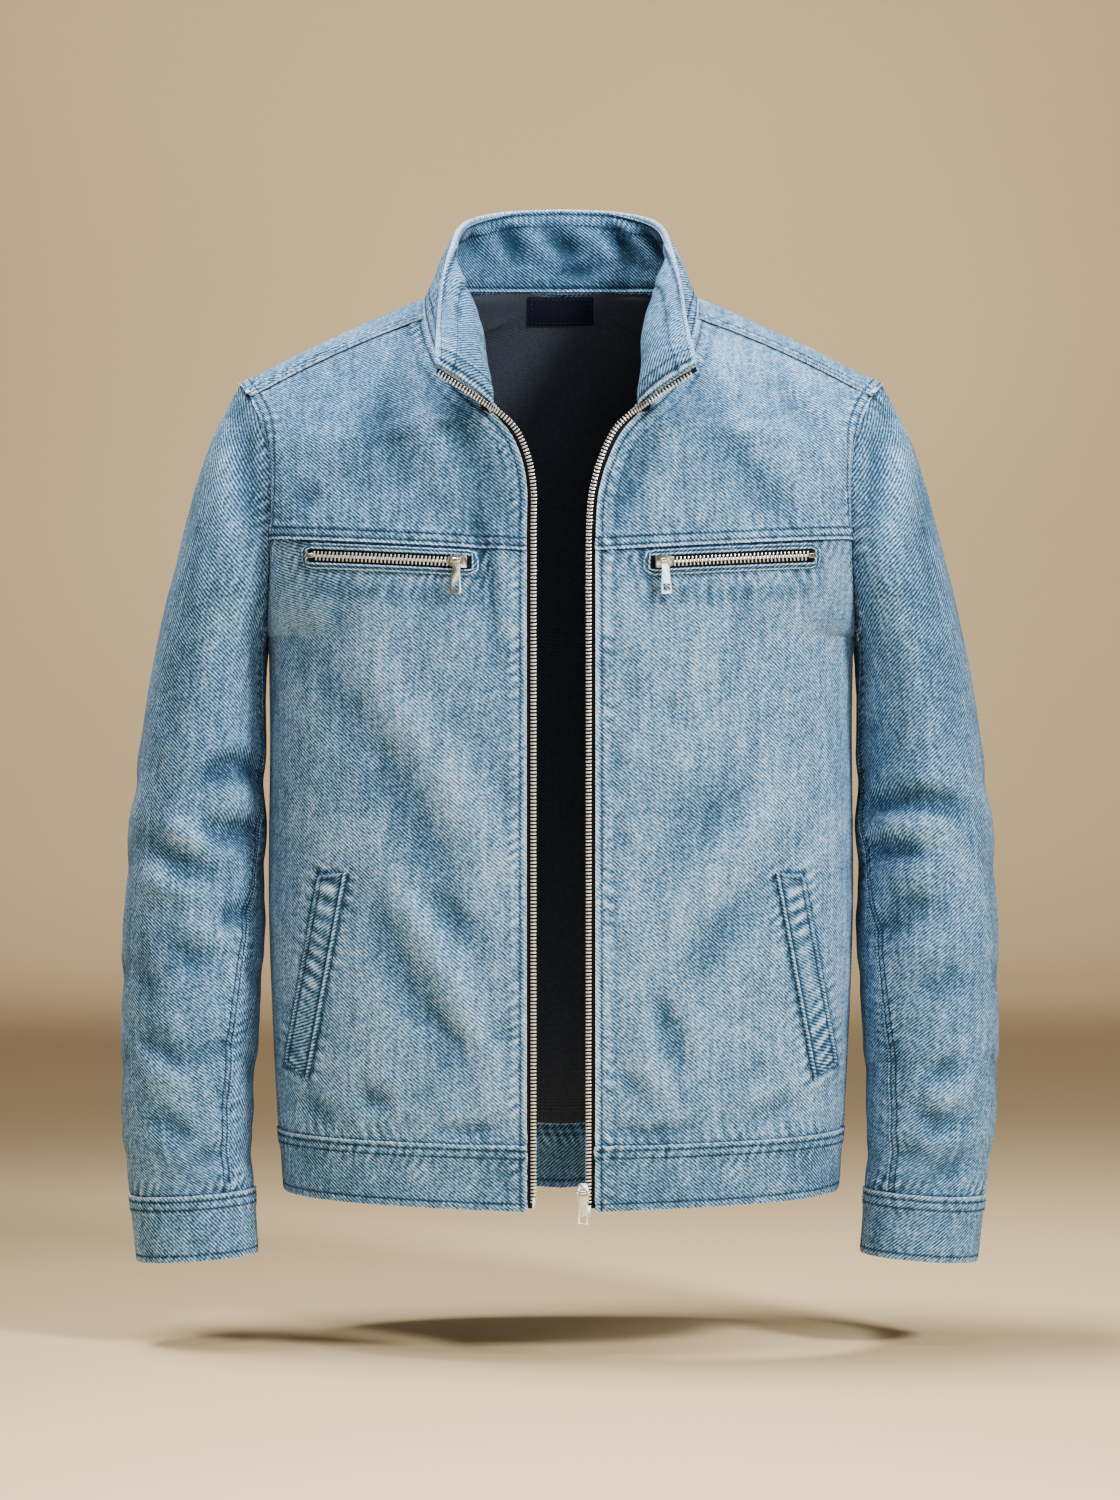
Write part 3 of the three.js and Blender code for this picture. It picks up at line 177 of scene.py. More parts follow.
def curve(table, at):
    """Smooth values of a table's columns at a station, with slopes limited so that they never overshoot."""
    rows = np.array(table, float)
    stations, values = rows[:, 0], rows[:, 1:]
    slopes = np.diff(values, axis=0) / np.diff(stations)[:, None]
    before, after = slopes[:-1], slopes[1:]
    total = np.where(before * after > 0, before + after, 1)
    inner = np.where(before * after > 0, 2 * before * after / total, 0)
    tangents = np.concatenate([slopes[:1], inner, slopes[-1:]])
    at = np.clip(np.asarray(at, float), stations[0], stations[-1])
    i = np.clip(np.searchsorted(stations, at, side="right") - 1, 0, len(stations) - 2)
    step = (stations[i + 1] - stations[i])[..., None]
    s = (at - stations[i])[..., None] / step
    return (
        (2 * s**3 - 3 * s**2 + 1) * values[i]
        + (s**3 - 2 * s**2 + s) * step * tangents[i]
        + (3 * s**2 - 2 * s**3) * values[i + 1]
        + (s**3 - s**2) * step * tangents[i + 1]
    )


def armhole(turn):
    """The armhole's loop: turn 0 at the shoulder point, 90 in front, 180 under the arm."""
    up, forward = np.cos(np.radians(turn)), np.sin(np.radians(turn))
    aside = np.where(up > 0, ARMHOLE["peak"] * np.abs(up) ** 3, ARMHOLE["drop"] * up**2)
    return np.stack(
        [ARMHOLE["x"] + aside, -ARMHOLE["depth"] * forward, ARMHOLE["z"] + ARMHOLE["height"] * up], axis=-1
    )


def row_point(inner, side, across, at):
    """One point of a body row, from its inner rail at 0 to its side at 1."""
    bow, crown = np.moveaxis(curve(ROW_BOW, at), -1, 0)
    reach = np.sin(across * math.pi / 2) ** (2 / FULLNESS)
    round_share = np.abs(np.cos(across * math.pi / 2)) ** (2 / FULLNESS)
    return np.stack(
        [
            mix(inner[..., 0], side[..., 0], reach),
            mix(side[..., 1], inner[..., 1], mix(1 - reach, round_share, bow)),
            mix(inner[..., 2], side[..., 2], reach) + 4 * crown * reach * (1 - reach),
        ],
        axis=-1,
    )


def front_plain(at, across):
    chest = mix(180, CHEST_TURN, np.clip(at - 2, 0, 1) ** 1.3)
    turn = np.where(at <= 3, chest, mix(CHEST_TURN, SHOULDER_TURN, at - 3))
    side = np.where((at <= 2)[..., None], curve(SIDE_SEAM, at), armhole(turn))
    return row_point(curve(FRONT_EDGE, at), side, across, at)


def back_plain(at, across):
    low = mix(180, NECK_TURN, np.clip((at - 2) / (BACK_NECK - 2), 0, 1) ** 1.15)
    high = mix(NECK_TURN, 360, (at - BACK_NECK) / (4 - BACK_NECK))
    over = mix(360, 360 + SHOULDER_TURN, at - 4)
    turn = np.where(at <= BACK_NECK, low, np.where(at <= 4, high, over))
    side = np.where((at <= 2)[..., None], curve(SIDE_SEAM, at), armhole(turn))
    return row_point(curve(BACK_CENTRE, at), side, across, at)


def mirrored(points, side):
    return points * np.stack(np.broadcast_arrays(side, 1.0, 1.0), axis=-1)


def neck_sway(at, across):
    fade = ease((at - 3.05) / 0.42) * (1 - ease((at - NECK) / 0.45)) * (1 - across) ** 2
    return np.stack([NECK_SWAY * fade, 0 * fade, 0 * fade], axis=-1)


def front_surface(side):
    return lambda at, across: mirrored(front_plain(at, across), side) + neck_sway(at, across)


def back_surface(at, across):
    """across runs from 1 at the wearer's left side through 0 at the centre to -1 at the right."""
    return mirrored(back_plain(at, np.abs(across)), np.where(across < 0, -1.0, 1.0))


def wing_surface(side):
    return lambda at, across: mirrored(back_plain(at, np.abs(across)), side)


def collar_surface(at, around):
    """at is 0 at the seam and 1 at the top; around runs from 1 at the left zip to -1 at the right one."""
    share = 1 - np.abs(around)
    front = front_plain(mix(NECK, SHOULDER, share / COLLAR_SHOULDER), 0 * share)
    over = (share - COLLAR_SHOULDER) / (COLLAR_RIDGE - COLLAR_SHOULDER)
    behind = (share - COLLAR_RIDGE) / (1 - COLLAR_RIDGE)
    back_at = np.where(share <= COLLAR_RIDGE, mix(BACK_SHOULDER, 4, over), mix(4, BACK_NECK, behind))
    seam = np.where((share <= COLLAR_SHOULDER)[..., None], front, back_plain(back_at, 0 * share))
    rails = curve(COLLAR, share)
    up = at[..., None]
    point = (1 - up) * (1 - 2 * up) * seam + 4 * up * (1 - up) * rails[..., :3]
    point = point + up * (2 * up - 1) * rails[..., 3:]
    sway = np.where(share[..., None] < COLLAR_SHOULDER, neck_sway(NECK + share, 0 * share), 0)
    return mirrored(point, np.where(around < 0, -1.0, 1.0)) + sway


def sleeve_tube(side, at, turn):
    outer_x, outer_z, inner_x, inner_z, front_y, back_y = np.moveaxis(curve(SLEEVE, at), -1, 0)
    up, forward = np.cos(np.radians(turn)), np.sin(np.radians(turn))
    ring = np.stack(
        [mix(inner_x, outer_x, (1 + up) / 2), mix(back_y, front_y, (1 + forward) / 2),
         mix(inner_z, outer_z, (1 + up) / 2)], axis=-1
    )
    first = SLEEVE[0]
    oval = np.stack(
        [mix(first[3], first[1], (1 + up) / 2), mix(first[6], first[5], (1 + forward) / 2),
         mix(first[4], first[2], (1 + up) / 2)], axis=-1
    )
    ring = ring + (armhole(turn) - oval) * (1 - ease(at / ARMHOLE_BLEND))[..., None]
    lean = curve(SLEEVE_LEAN, at)[..., 0] * (0.45 + 0.275 * (1 + up)) if side > 0 else 0 * at
    under = UNDERARM_GAP * ease(-up * 1.5) * (1 - ease(at / ARMHOLE_BLEND))
    ring[..., 0] += lean + under
    return mirrored(ring, float(side))


def sleeve_part(side, part):
    """The upper sleeve runs from the back seam over the top to the front one, the under sleeve below."""

    def surface(at, share):
        seams = curve(SLEEVE_SEAMS, at)
        front, back = seams[..., 0], seams[..., 1]
        if part == "upper":
            turn = mix(back - 360, front, share)
        elif part == "under":
            turn = mix(front, back, share)
        else:
            turn = mix(back - 360, back, share)
        return sleeve_tube(side, at, turn)

    return surface


# ------------------------------------------------------------------ creases, placed one by one
# Each row: width, depth (below 0 a trough), then both measures of each place that it runs through, seen from
# that side. The backs of the sleeves are given for the left one.

FRONT_FOLDS = [
    # the wearer's right front
    (7, -4.2, -67, -150, -57, -176, -49, -238, -41, -276),
    (10, -3.4, -84, -58, -66, -112, -50, -150, -32, -168), (13, -2.4, -130, -62, -122, -110, -100, -150),
    (9, 1.8, -102, -70, -92, -120, -78, -158), (11, -2.2, -172, -140, -182, -158),
    (20, -3.8, -172, -262, -126, -330, -88, -396, -67, -457),
    (17, 2.8, -150, -260, -100, -330, -62, -400, -48, -440), (15, -3.8, -141, -421, -98, -505, -73, -548),
    (11, 2.4, -120, -418, -82, -478, -56, -528), (9, -2.6, -101, -427, -78, -440, -60, -460),
    (9, -2.6, -108, -493, -82, -520, -60, -552), (6, -2.2, -49, -539, -44, -526, -39, -512),
    (6, -3.0, -92, -589, -66, -592, -40, -586), (8, -2.2, -147, -560, -130, -572, -112, -584),
    (7, -2.6, -186, -566, -172, -578, -158, -590), (6, 1.8, -136, -588, -120, -580, -100, -577),
    (6, -1.6, -46, -330, -39, -352, -37, -370), (6, -1.6, -50, -402, -42, -424, -38, -440),
    (10, -1.6, -150, -205, -156, -240, -162, -262),
    # the wearer's left front
    (12, -5.0, 66, -86, 52, -120, 42, -160, 38, -174), (8, 2.0, 84, -90, 72, -130, 58, -168),
    (11, -2.0, 101, -68, 113, -98, 130, -135, 146, -164), (10, -2.0, 150, -58, 166, -80, 178, -108),
    (9, -1.8, 136, -132, 148, -148, 162, -166), (8, -2.0, 74, -296, 84, -306, 88, -318),
    (5, -2.4, 35, -372, 42, -388, 50, -402), (5, -2.0, 36, -318, 40, -334, 36, -350),
    (17, -3.2, 139, -346, 96, -378, 72, -412), (15, 2.6, 158, -352, 112, -410, 66, -472),
    (15, -3.0, 136, -420, 104, -462, 88, -500), (8, -4.0, 66, -498, 78, -526, 84, -556),
    (7, 2.6, 52, -486, 58, -528, 68, -566), (7, -2.8, 38, -538, 46, -556, 56, -572),
    (6, -3.4, 36, -590, 66, -594, 94, -586), (7, -2.2, 120, -592, 148, -580, 176, -568),
    (6, 1.8, 100, -574, 130, -566, 160, -560), (6, -1.8, 36, -450, 42, -470, 40, -490),
    (9, 1.8, 110, -215, 100, -262, 84, -300),
]
BACK_FOLDS = [  # x as seen from in front
    (16, -3.0, -186, -214, -140, -262, -80, -312), (16, -3.2, 184, -206, 132, -268, 88, -330),
    (12, 2.4, -176, -250, -124, -304, -70, -340), (13, 2.2, 178, -246, 120, -306),
    (12, -2.6, -150, -60, -164, -108, -160, -150), (12, -2.4, 146, -54, 158, -100, 166, -146),
    (10, -2.0, -60, -30, -74, -84, -70, -120), (11, 1.8, 52, -26, 62, -80, 58, -132),
    (20, 2.2, -20, -180, -34, -260, -24, -340), (15, -2.4, 34, -230, 20, -320, 38, -400),
    (14, -2.8, -96, -380, -60, -440, -48, -500), (13, 2.6, -120, -420, -88, -486, -84, -540),
    (12, -2.6, 92, -420, 60, -478, 70, -540), (14, 2.4, 130, -440, 100, -500, 104, -560),
    (8, -2.8, -168, -560, -140, -582, -104, -590), (7, -3.0, -80, -594, -40, -588, -6, -594),
    (7, -2.8, 22, -590, 58, -596, 96, -588), (8, -2.6, 116, -592, 150, -580, 184, -566),
    (9, 2.0, -30, -566, 10, -574, 44, -568), (9, -1.9, -184, -330, -160, -372, -150, -420),
    (9, -1.9, 186, -360, 168, -410, 160, -470),
]
SLEEVE_FRONT_FOLDS = {
    "right": [
        (12, -4.0, -230, -72, -222, -130, -208, -196), (12, 2.2, -246, -84, -238, -150, -226, -220),
        (13, -1.8, -262, -150, -268, -220, -272, -290), (8, -4.4, -252, -352, -232, -336, -212, -348),
        (9, 2.6, -258, -366, -236, -358, -214, -364), (9, -6.0, -256, -378, -236, -384, -208, -380),
        (11, 3.4, -280, -366, -262, -392, -226, -414), (10, -4.4, -294, -392, -268, -404, -236, -412),
        (10, 3.0, -300, -412, -268, -426, -240, -428), (9, -3.8, -280, -462, -262, -470, -244, -482),
        (8, -3.4, -248, -456, -232, -444, -214, -434), (10, 2.6, -262, -448, -244, -456, -226, -462),
        (9, -3.6, -298, -524, -284, -538, -266, -548), (8, -2.8, -260, -536, -244, -538, -230, -528),
        (9, 2.6, -292, -546, -270, -562, -250, -566), (8, -3.2, -290, -580, -276, -592, -262, -602),
        (7, -3.0, -266, -622, -248, -614, -234, -606), (8, 2.2, -288, -600, -268, -616, -248, -622),
        (6, -1.8, -242, -560, -236, -580, -232, -596), (9, -2.0, -300, -470, -292, -500, -286, -516),
    ],
    "left": [
        (12, -3.6, 230, -78, 222, -130, 212, -196), (12, 2.0, 246, -90, 236, -160, 224, -230),
        (14, -1.8, 262, -150, 266, -230, 274, -300), (7, -3.4, 206, -312, 216, -310, 226, -306),
        (9, -5.4, 210, -374, 240, -362, 290, -370), (9, 3.0, 216, -386, 246, -378, 286, -386),
        (8, -5.0, 212, -398, 232, -394, 254, -404), (9, 2.6, 226, -412, 250, -414, 276, -408),
        (9, -3.2, 232, -440, 246, -434, 262, -440), (9, -3.2, 224, -462, 238, -450, 250, -446),
        (10, 2.4, 238, -470, 262, -462, 288, -456), (9, -3.0, 250, -488, 268, -492, 288, -484),
        (9, -3.4, 256, -558, 272, -552, 288, -546), (8, -3.4, 254, -574, 268, -590, 284, -580),
        (9, 2.6, 250, -566, 268, -572, 290, -564), (8, -2.8, 232, -616, 248, -610, 260, -608),
        (8, 2.2, 240, -600, 262, -606, 284, -600), (8, -2.6, 262, -630, 280, -622, 296, -612),
        (7, -2.0, 228, -530, 236, -546, 238, -560), (9, 2.0, 292, -420, 300, -450, 304, -480),
    ],
}
SLEEVE_BACK_FOLDS = [  # x away from the middle, for both sleeves
    (12, -3.4, 228, -80, 218, -140, 214, -190), (13, 2.2, 244, -96, 236, -170, 230, -240),
    (12, -2.6, 280, -210, 262, -250, 232, -276), (10, -4.2, 300, -330, 268, -352, 226, -348),
    (11, 3.2, 302, -352, 268, -374, 228, -372), (9, -4.4, 292, -392, 262, -398, 226, -388),
    (10, 2.8, 300, -420, 270, -428, 236, -418), (9, -3.6, 306, -452, 276, -462, 244, -452),
    (9, -3.0, 296, -504, 268, -520, 240, -516), (10, 2.4, 300, -530, 272, -546, 244, -544),
    (8, -3.2, 292, -572, 270, -584, 246, -580), (7, -2.8, 286, -616, 264, -624, 244, -618),
    (8, 2.0, 296, -596, 276, -606, 252, -604),
]
SLEEVE_SIDE_FOLDS = [  # y and z, seen from outside
    (13, -2.8, -40, -120, -20, -190, -28, -250), (14, 2.0, 14, -110, 26, -190, 16, -270),
    (11, -3.6, -50, -330, -8, -352, 44, -336), (12, 2.8, -46, -354, 0, -380, 48, -364),
    (10, -3.8, -52, -396, -14, -412, 32, -404), (11, 2.4, -30, -440, 6, -452, 44, -436),
    (9, -3.2, -56, -470, -22, -490, 20, -482), (9, -3.0, -50, -540, -16, -556, 22, -548),
    (9, 2.4, -44, -572, -10, -586, 20, -578), (8, -2.8, -52, -606, -24, -618, 8, -612),
]
FOLD_STEPS = 14
COLLAR_FOLDS = [  # place round the collar in millimetres from the centre back, height above its seam
    (5, -1.3, -62, 40, -54, 28, -44, 20), (6, 1.2, -50, 44, -38, 30, -30, 16),
    (5, -1.5, -26, 42, -14, 34, -4, 20), (6, -1.4, 14, 44, 26, 32, 44, 22),
    (6, 1.3, 28, 46, 44, 38, 58, 22), (5, -1.3, 64, 44, 54, 26, 38, 14), (6, 1.1, -6, 14, 8, 22, 22, 14),
    (8, -1.6, 96, 46, 112, 26, 132, 12), (8, -1.6, -98, 44, -116, 24, -134, 12),
    (7, -1.5, 150, 40, 166, 26, 176, 12), (7, -1.4, -148, 42, -164, 28, -178, 14),
    (9, 1.4, 130, 40, 150, 22, 160, 10), (9, 1.4, -128, 40, -148, 24, -158, 10),
]
FACING_FOLDS = [  # the same two measures, on the inside of the collar
    (8, -3.2, -88, 50, -76, 38, -62, 30), (9, 2.6, -70, 50, -56, 34, -48, 18),
    (8, -3.4, -50, 46, -36, 34, -30, 16), (9, 2.4, -30, 48, -12, 30, -4, 12),
    (8, -3.6, -14, 44, 4, 32, 20, 26), (7, -3.0, -2, 20, 14, 14, 30, 18), (9, 2.6, 14, 50, 30, 36, 40, 20),
    (8, -3.8, 28, 48, 46, 34, 60, 14), (7, 2.2, 52, 46, 66, 34, 72, 16), (8, -2.8, 70, 50, 84, 36, 90, 22),
    (10, -2.6, 104, 50, 122, 30, 136, 12), (10, -2.6, -104, 50, -124, 30, -138, 12),
    (9, 2.2, 126, 46, 148, 26, 158, 12), (9, 2.2, -126, 46, -146, 28, -158, 12),
    (9, -2.4, 150, 46, 170, 30, 182, 14), (9, -2.4, -152, 46, -170, 30, -182, 14),
]


def fold_path(places):
    """A smooth line through the two to four places of a fold."""
    fine = np.linspace(0, 1, FOLD_STEPS)
    if len(places) == 2:
        return mix(places[0], places[1], fine[:, None])
    stations = np.linspace(0, 1, len(places))
    return np.stack([np.polyval(np.polyfit(stations, v, len(places) - 1), fine) for v in places.T], axis=1)


def lengths_along(points):
    """Distances of points from the first one, along their line."""
    steps = np.linalg.norm(np.diff(points, axis=-2), axis=-1)
    return np.concatenate([np.zeros(steps.shape[:-1] + (1,)), np.cumsum(steps, axis=-1)], axis=-1)


def nearest_on(places, line):
    """Distance of places from a line, the piece of it that is nearest, and its length up to there."""
    way = np.diff(line, axis=0)
    size = np.linalg.norm(way, axis=1)
    off = places[:, None] - line[None, :-1]
    share = np.clip((off * way).sum(axis=-1) / size**2, 0, 1)
    away = np.linalg.norm(off - share[..., None] * way, axis=-1)
    nearest = away.argmin(axis=1)
    pick = np.arange(len(away)), nearest
    return away[pick], nearest, lengths_along(line)[nearest] + share[pick] * size[nearest]


def folds_at(folds, a, b):
    """Height of the creases at places: soft troughs with a lower swell on one side, fading at both ends."""
    lift = np.zeros(a.shape)
    for width, depth, *places in folds:
        path = fold_path(np.reshape(places, (-1, 2)))
        margin = 3.4 * width
        low, high = path.min(axis=0) - margin, path.max(axis=0) + margin
        near = (a > low[0]) & (a < high[0]) & (b > low[1]) & (b < high[1])
        if not near.any():
            continue
        places = np.stack([a[near], b[near]], axis=-1)
        gap, nearest, along = nearest_on(places, path)
        way, off = np.diff(path, axis=0)[nearest].T, (places - path[nearest]).T
        across = np.sign(way[0] * off[1] - way[1] * off[0]) * gap / width
        fade = np.sin(math.pi * np.clip(along / lengths_along(path)[-1], 0.03, 0.97)) ** 0.7
        lift[near] += depth * fade * (bell(across) - 0.38 * bell((across - 1.9) / 0.9))
    return lift


def crumple(a, b, size, seed):
    """Smooth seeded unevenness of about one size, from -1 to 1."""
    lattice = np.random.default_rng(seed).uniform(-1, 1, (64, 64))
    i, j = np.floor(a / size).astype(int), np.floor(b / size).astype(int)
    u, v = ease(a / size - i), ease(b / size - j)
    corner = lambda m, n: lattice[(i + m) % 64, (j + n) % 64]
    return mix(mix(corner(0, 0), corner(1, 0), u), mix(corner(0, 1), corner(1, 1), u), v)


def wave(along, period, seed):
    """Uneven ripples along a seam, as washing leaves them: some long and strong, some hardly there."""
    slow = 0.7 * np.sin(along / (period * 0.83) + seed) + 0.9 * np.sin(along / (period * 2.1) + 2.3 * seed)
    swell = 0.62 + 0.3 * np.sin(along / (period * 1.15) + 1.7 * seed)
    swell = swell + 0.3 * np.sin(along / (period * 2.6) + 0.7 * seed)
    return np.sin(2 * math.pi * along / period + 1.5 * slow) * np.maximum(swell, 0.05)


# ------------------------------------------------------------------ patches of cloth

NORMAL_STEP = 0.004
LOWEST, HIGHEST = -1.0, 9.0  # stations below and above all others
SIDE_SPAN, ARM_SPAN = (0.0, 2.0), (2.0, HIGHEST)  # the stations of the side seam, and of the armhole
EDGE_STEPS = np.array([0, 0.9, 1.8, 2.8, 3.9, 5.1, 6.3, 7.5, 8.7, 9.9, 11.5, 13.6])


def spaced(length, cells, fine_start, fine_end):
    """Distances along a line, with fixed close steps at its sewn ends and even ones between them."""
    start = EDGE_STEPS if fine_start else np.zeros(1)
    end = EDGE_STEPS if fine_end else np.zeros(1)
    length = np.atleast_1d(length)[:, None]
    shrink = np.minimum(1, 0.42 * length / EDGE_STEPS[-1])
    first, last = start[None] * shrink, length - end[None, ::-1] * shrink
    inner = mix(first[:, -1:], last[:, :1], np.linspace(0, 1, cells + 1)[None, 1:-1])
    return np.concatenate([first, inner, last], axis=1)


def edge_span(edge):
    """An edge's name and the stations between which it is meant: all of them, unless they are given."""
    return edge if isinstance(edge, tuple) else (edge, LOWEST, HIGHEST)


def sorted_pair(keys, values):
    order = np.argsort(keys, kind="stable")
    return keys[order], values[order]


SEAMS = {  # distances of its rows of stitches, height and width of the allowance, wear (below 0 it is painted shade along a piece tucked under a seam), pucker
    "yoke": ((2.5, 8.0), 1.0, 9.6, 0.75, 0.3),
    "yoke_under": ((), 0.0, 7.0, -0.35, 0.35),
    "yoke_neck": ((), 0.0, 6.0, 0.3, 0.15),
    "back_neck": ((), 0.0, 6.0, 0.3, 0.2),
    "armhole": ((1.8, 7.5), 0.55, 9.0, 0.7, 0.28),
    "shoulder": ((2.0, 7.5), 1.3, 9.0, 1.1, 0.25),
    "side": ((1.8, 7.0), 0.5, 8.6, 0.6, 0.3),
    "side_under": ((), 0.0, 6.0, 0.25, 0.3),
    "band": ((3.3, 8.6), 0.9, 10.2, 0.75, 0.34),
    "band_under": ((), 0.0, 7.0, -0.3, 0.4),
    "band_side": ((), 0.0, 5.0, 0.4, 0.2),
    "hem": ((5.3,), 0.0, 6.0, 0.9, 0.22),
    "zip": ((4.4,), 0.35, 5.2, 0.85, 0.16),
    "cuff": ((3.5, 9.5), 0.9, 11.2, 0.75, 0.34),
    "cuff_under": ((), 0.0, 7.0, -0.2, 0.45),
    "cuff_hem": ((4.5,), 0.0, 5.5, 0.9, 0.24),
    "sleeve_head": ((), 0.0, 7.0, -0.25, 0.45),
    "sleeve": ((1.5, 6.0), 0.6, 7.4, 0.6, 0.34),
    "sleeve_under": ((), 0.0, 7.4, 0.6, 0.34),
    "collar": ((2.0, 8.0), 0.7, 9.2, 0.7, 0.3),
    "collar_top": ((2.0,), 0.0, 3.5, 0.3, 0.3),
    "collar_end": ((4.4,), 0.3, 5.2, 0.8, 0.2),
    "facing": ((3.0,), 0.3, 4.0, 0.8, 0.2),
    "facing_top": ((1.6, 11.6), 0.3, 12.4, 0.55, 0.16),
    "facing_end": ((4.4, 12.3), 0.35, 13.0, 0.8, 0.1),
}


class Patch:
    """A grid on a surface, with rows along its stations and columns from one side to the other."""

    def __init__(self, surface, stations, columns, cell, fine="tblr", limits=None, even=False, shares=None):
        self.surface = surface
        self.limits = limits or (*stations, *columns)
        fine_at = np.linspace(*stations, 160)
        middle = surface(fine_at, np.full(160, mix(*columns, 0.5 if columns[0] * columns[1] >= 0 else 0.25)))
        height = lengths_along(middle)
        rows = spaced(height[-1], max(3, round(height[-1] / cell)), "b" in fine, "t" in fine)[0]
        at = np.interp(rows, height, fine_at)
        across = np.linspace(*columns, 360)
        grid_at, grid_across = np.meshgrid(at, across, indexing="ij")
        run = lengths_along(surface(grid_at, grid_across))
        cells = max(3, round(run[:, -1].mean() / cell))
        if shares is not None:
            places = shares[None] * run[:, -1:]
        else:
            places = spaced(run[:, -1], cells + (cells % 2 if even else 0), "l" in fine, "r" in fine)
        self.across = np.stack([np.interp(p, r, across) for p, r in zip(places, run)])
        self.at = np.broadcast_to(at[:, None], self.across.shape).copy()
        self.plain = surface(self.at, self.across)
        self.normal = self.normals()
        self.run, self.rise = lengths_along(self.plain), lengths_along(self.plain.swapaxes(0, 1)).T
        self.weft, self.warp = self.run, self.rise
        self.lift = np.zeros(self.at.shape)
        self.tone = np.zeros(self.at.shape)
        self.lines, self.gaps = {}, {}

    def normals(self):
        step = NORMAL_STEP
        a0, a1, b0, b1 = self.limits
        tiny = 0.0015 * (b1 - b0)
        low_b, high_b = sorted((b0 + tiny, b1 - tiny))
        up = self.surface(np.minimum(self.at + step, a1), self.across)
        up = up - self.surface(np.maximum(self.at - step, a0), self.across)
        turn = step if b1 > b0 else -step
        right = self.surface(self.at, np.clip(self.across + turn, low_b, high_b))
        right = right - self.surface(self.at, np.clip(self.across - turn, low_b, high_b))
        return unit(np.cross(right, up))

    def across_at(self, axis, value):
        """For every row, where across it an axis reaches a value."""
        rows = zip(self.plain[..., axis], self.across)
        return np.array([np.interp(value, *sorted_pair(row, share)) for row, share in rows])

    def lay_sleeve_grain(self, sign):
        """Lays the cloth's map with its warp straight down and its weft round upright ovals."""
        x, y, z = np.moveaxis(self.plain, -1, 0)
        middle_x, middle_y, reach_x, reach_y = np.moveaxis(curve(SLEEVE_GRAIN, z), -1, 0)
        turn = np.arctan2((middle_y - y) * np.sqrt(reach_x), (sign * x - middle_x) * np.sqrt(reach_y))
        self.weft = np.sqrt(reach_x * reach_y) * np.unwrap(turn, axis=1)
        self.warp = z.copy()

    def lay_grain(self, line):
        """Lays the cloth's map with its warp straight down from one line, given as its place in each row."""
        level = lengths_along(self.plain[..., :2])
        start = [np.interp(at, *sorted_pair(share, run)) for at, share, run in zip(line, self.across, level)]
        self.weft = level - np.array(start)[:, None]
        self.warp = self.plain[:1, :, 2] + lengths_along(self.plain[..., 1:].swapaxes(0, 1)).T

    @property
    def points(self):
        return self.plain + self.normal * self.lift[..., None]

    def edge(self, name, low=LOWEST, high=HIGHEST):
        """The line of one side of the patch, between two stations: b and t are rows, l and r are columns."""
        if name in self.lines:
            return self.lines[name]
        every = slice(None)
        pick = {"b": (0, every), "t": (-1, every), "l": (every, 0), "r": (every, -1)}[name]
        at = self.at[pick]
        return self.plain[pick][(at >= low - 1e-6) & (at <= high + 1e-6)]

    def gap_to(self, name, low=LOWEST, high=HIGHEST):
        """Distance of every point from one edge, and the place along that edge."""
        key = (name, low, high)
        if key not in self.gaps:
            line = self.edge(name, low, high)
            step = max(1, len(line) // 90)
            line = np.concatenate([line[::step], line[-1:]])
            line = line[np.concatenate([[True], np.linalg.norm(np.diff(line, axis=0), axis=1) > 1e-6])]
            gap = np.full(self.at.size, 99.0)
            along = np.zeros(self.at.size)
            flat = self.plain.reshape(-1, 3)
            near = ((flat > line.min(axis=0) - 32) & (flat < line.max(axis=0) + 32)).all(axis=1)
            if near.any():
                gap[near], nearest, along[near] = nearest_on(flat[near], line)
            self.gaps[key] = gap.reshape(self.at.shape), along.reshape(self.at.shape)
        return self.gaps[key]

    def calm(self, edges, reach):
        """1 inside the patch and 0 at the edges where neighbours have to meet."""
        share = np.ones(self.at.shape)
        for edge in edges:
            share = share * ease(self.gap_to(*edge_span(edge))[0] / reach)
        return share

    def crease(self, height):
        """Raises the cloth; crests come out paler, partly as wash fade and partly as painted highlight, and
        troughs darker as painted shade.
        """
        self.lift += height
        self.tone += np.clip(np.where(height > 0, 0.06, 0.15) * height, -0.55, 0.15)

    def crease_by_view(self, front, back, side_view, calm):
        """Folds placed in three views, each where the cloth faces that view."""
        x, y, z = np.moveaxis(self.plain, -1, 0)
        side, depth = self.normal[..., 0], self.normal[..., 1]
        height = np.zeros(self.at.shape)
        for folds, weight, a, b in (
            (front, ease(-depth * 2.2 - 0.1), x, z),
            (back, ease(depth * 2.2 - 0.1), x, z),
            (side_view, ease(np.abs(side) * 2.4 - 1.2), y, z),
        ):
            if folds and weight.max() > 0:
                height += weight * folds_at(folds, a, b)
        self.crease(height * calm)

    def rumple(self, size, height, seed, calm):
        """Covers the cloth with small seeded unevenness."""
        x, y = self.plain[..., 0], self.plain[..., 1]
        level = crumple(self.run + 0.4 * self.rise, self.rise * 0.7 - 0.3 * x, size, seed)
        fine = crumple(self.run - 0.5 * self.rise, self.rise + 0.3 * y, size * 0.47, seed + 50)
        self.crease(height * (level + 0.5 * fine) * calm)

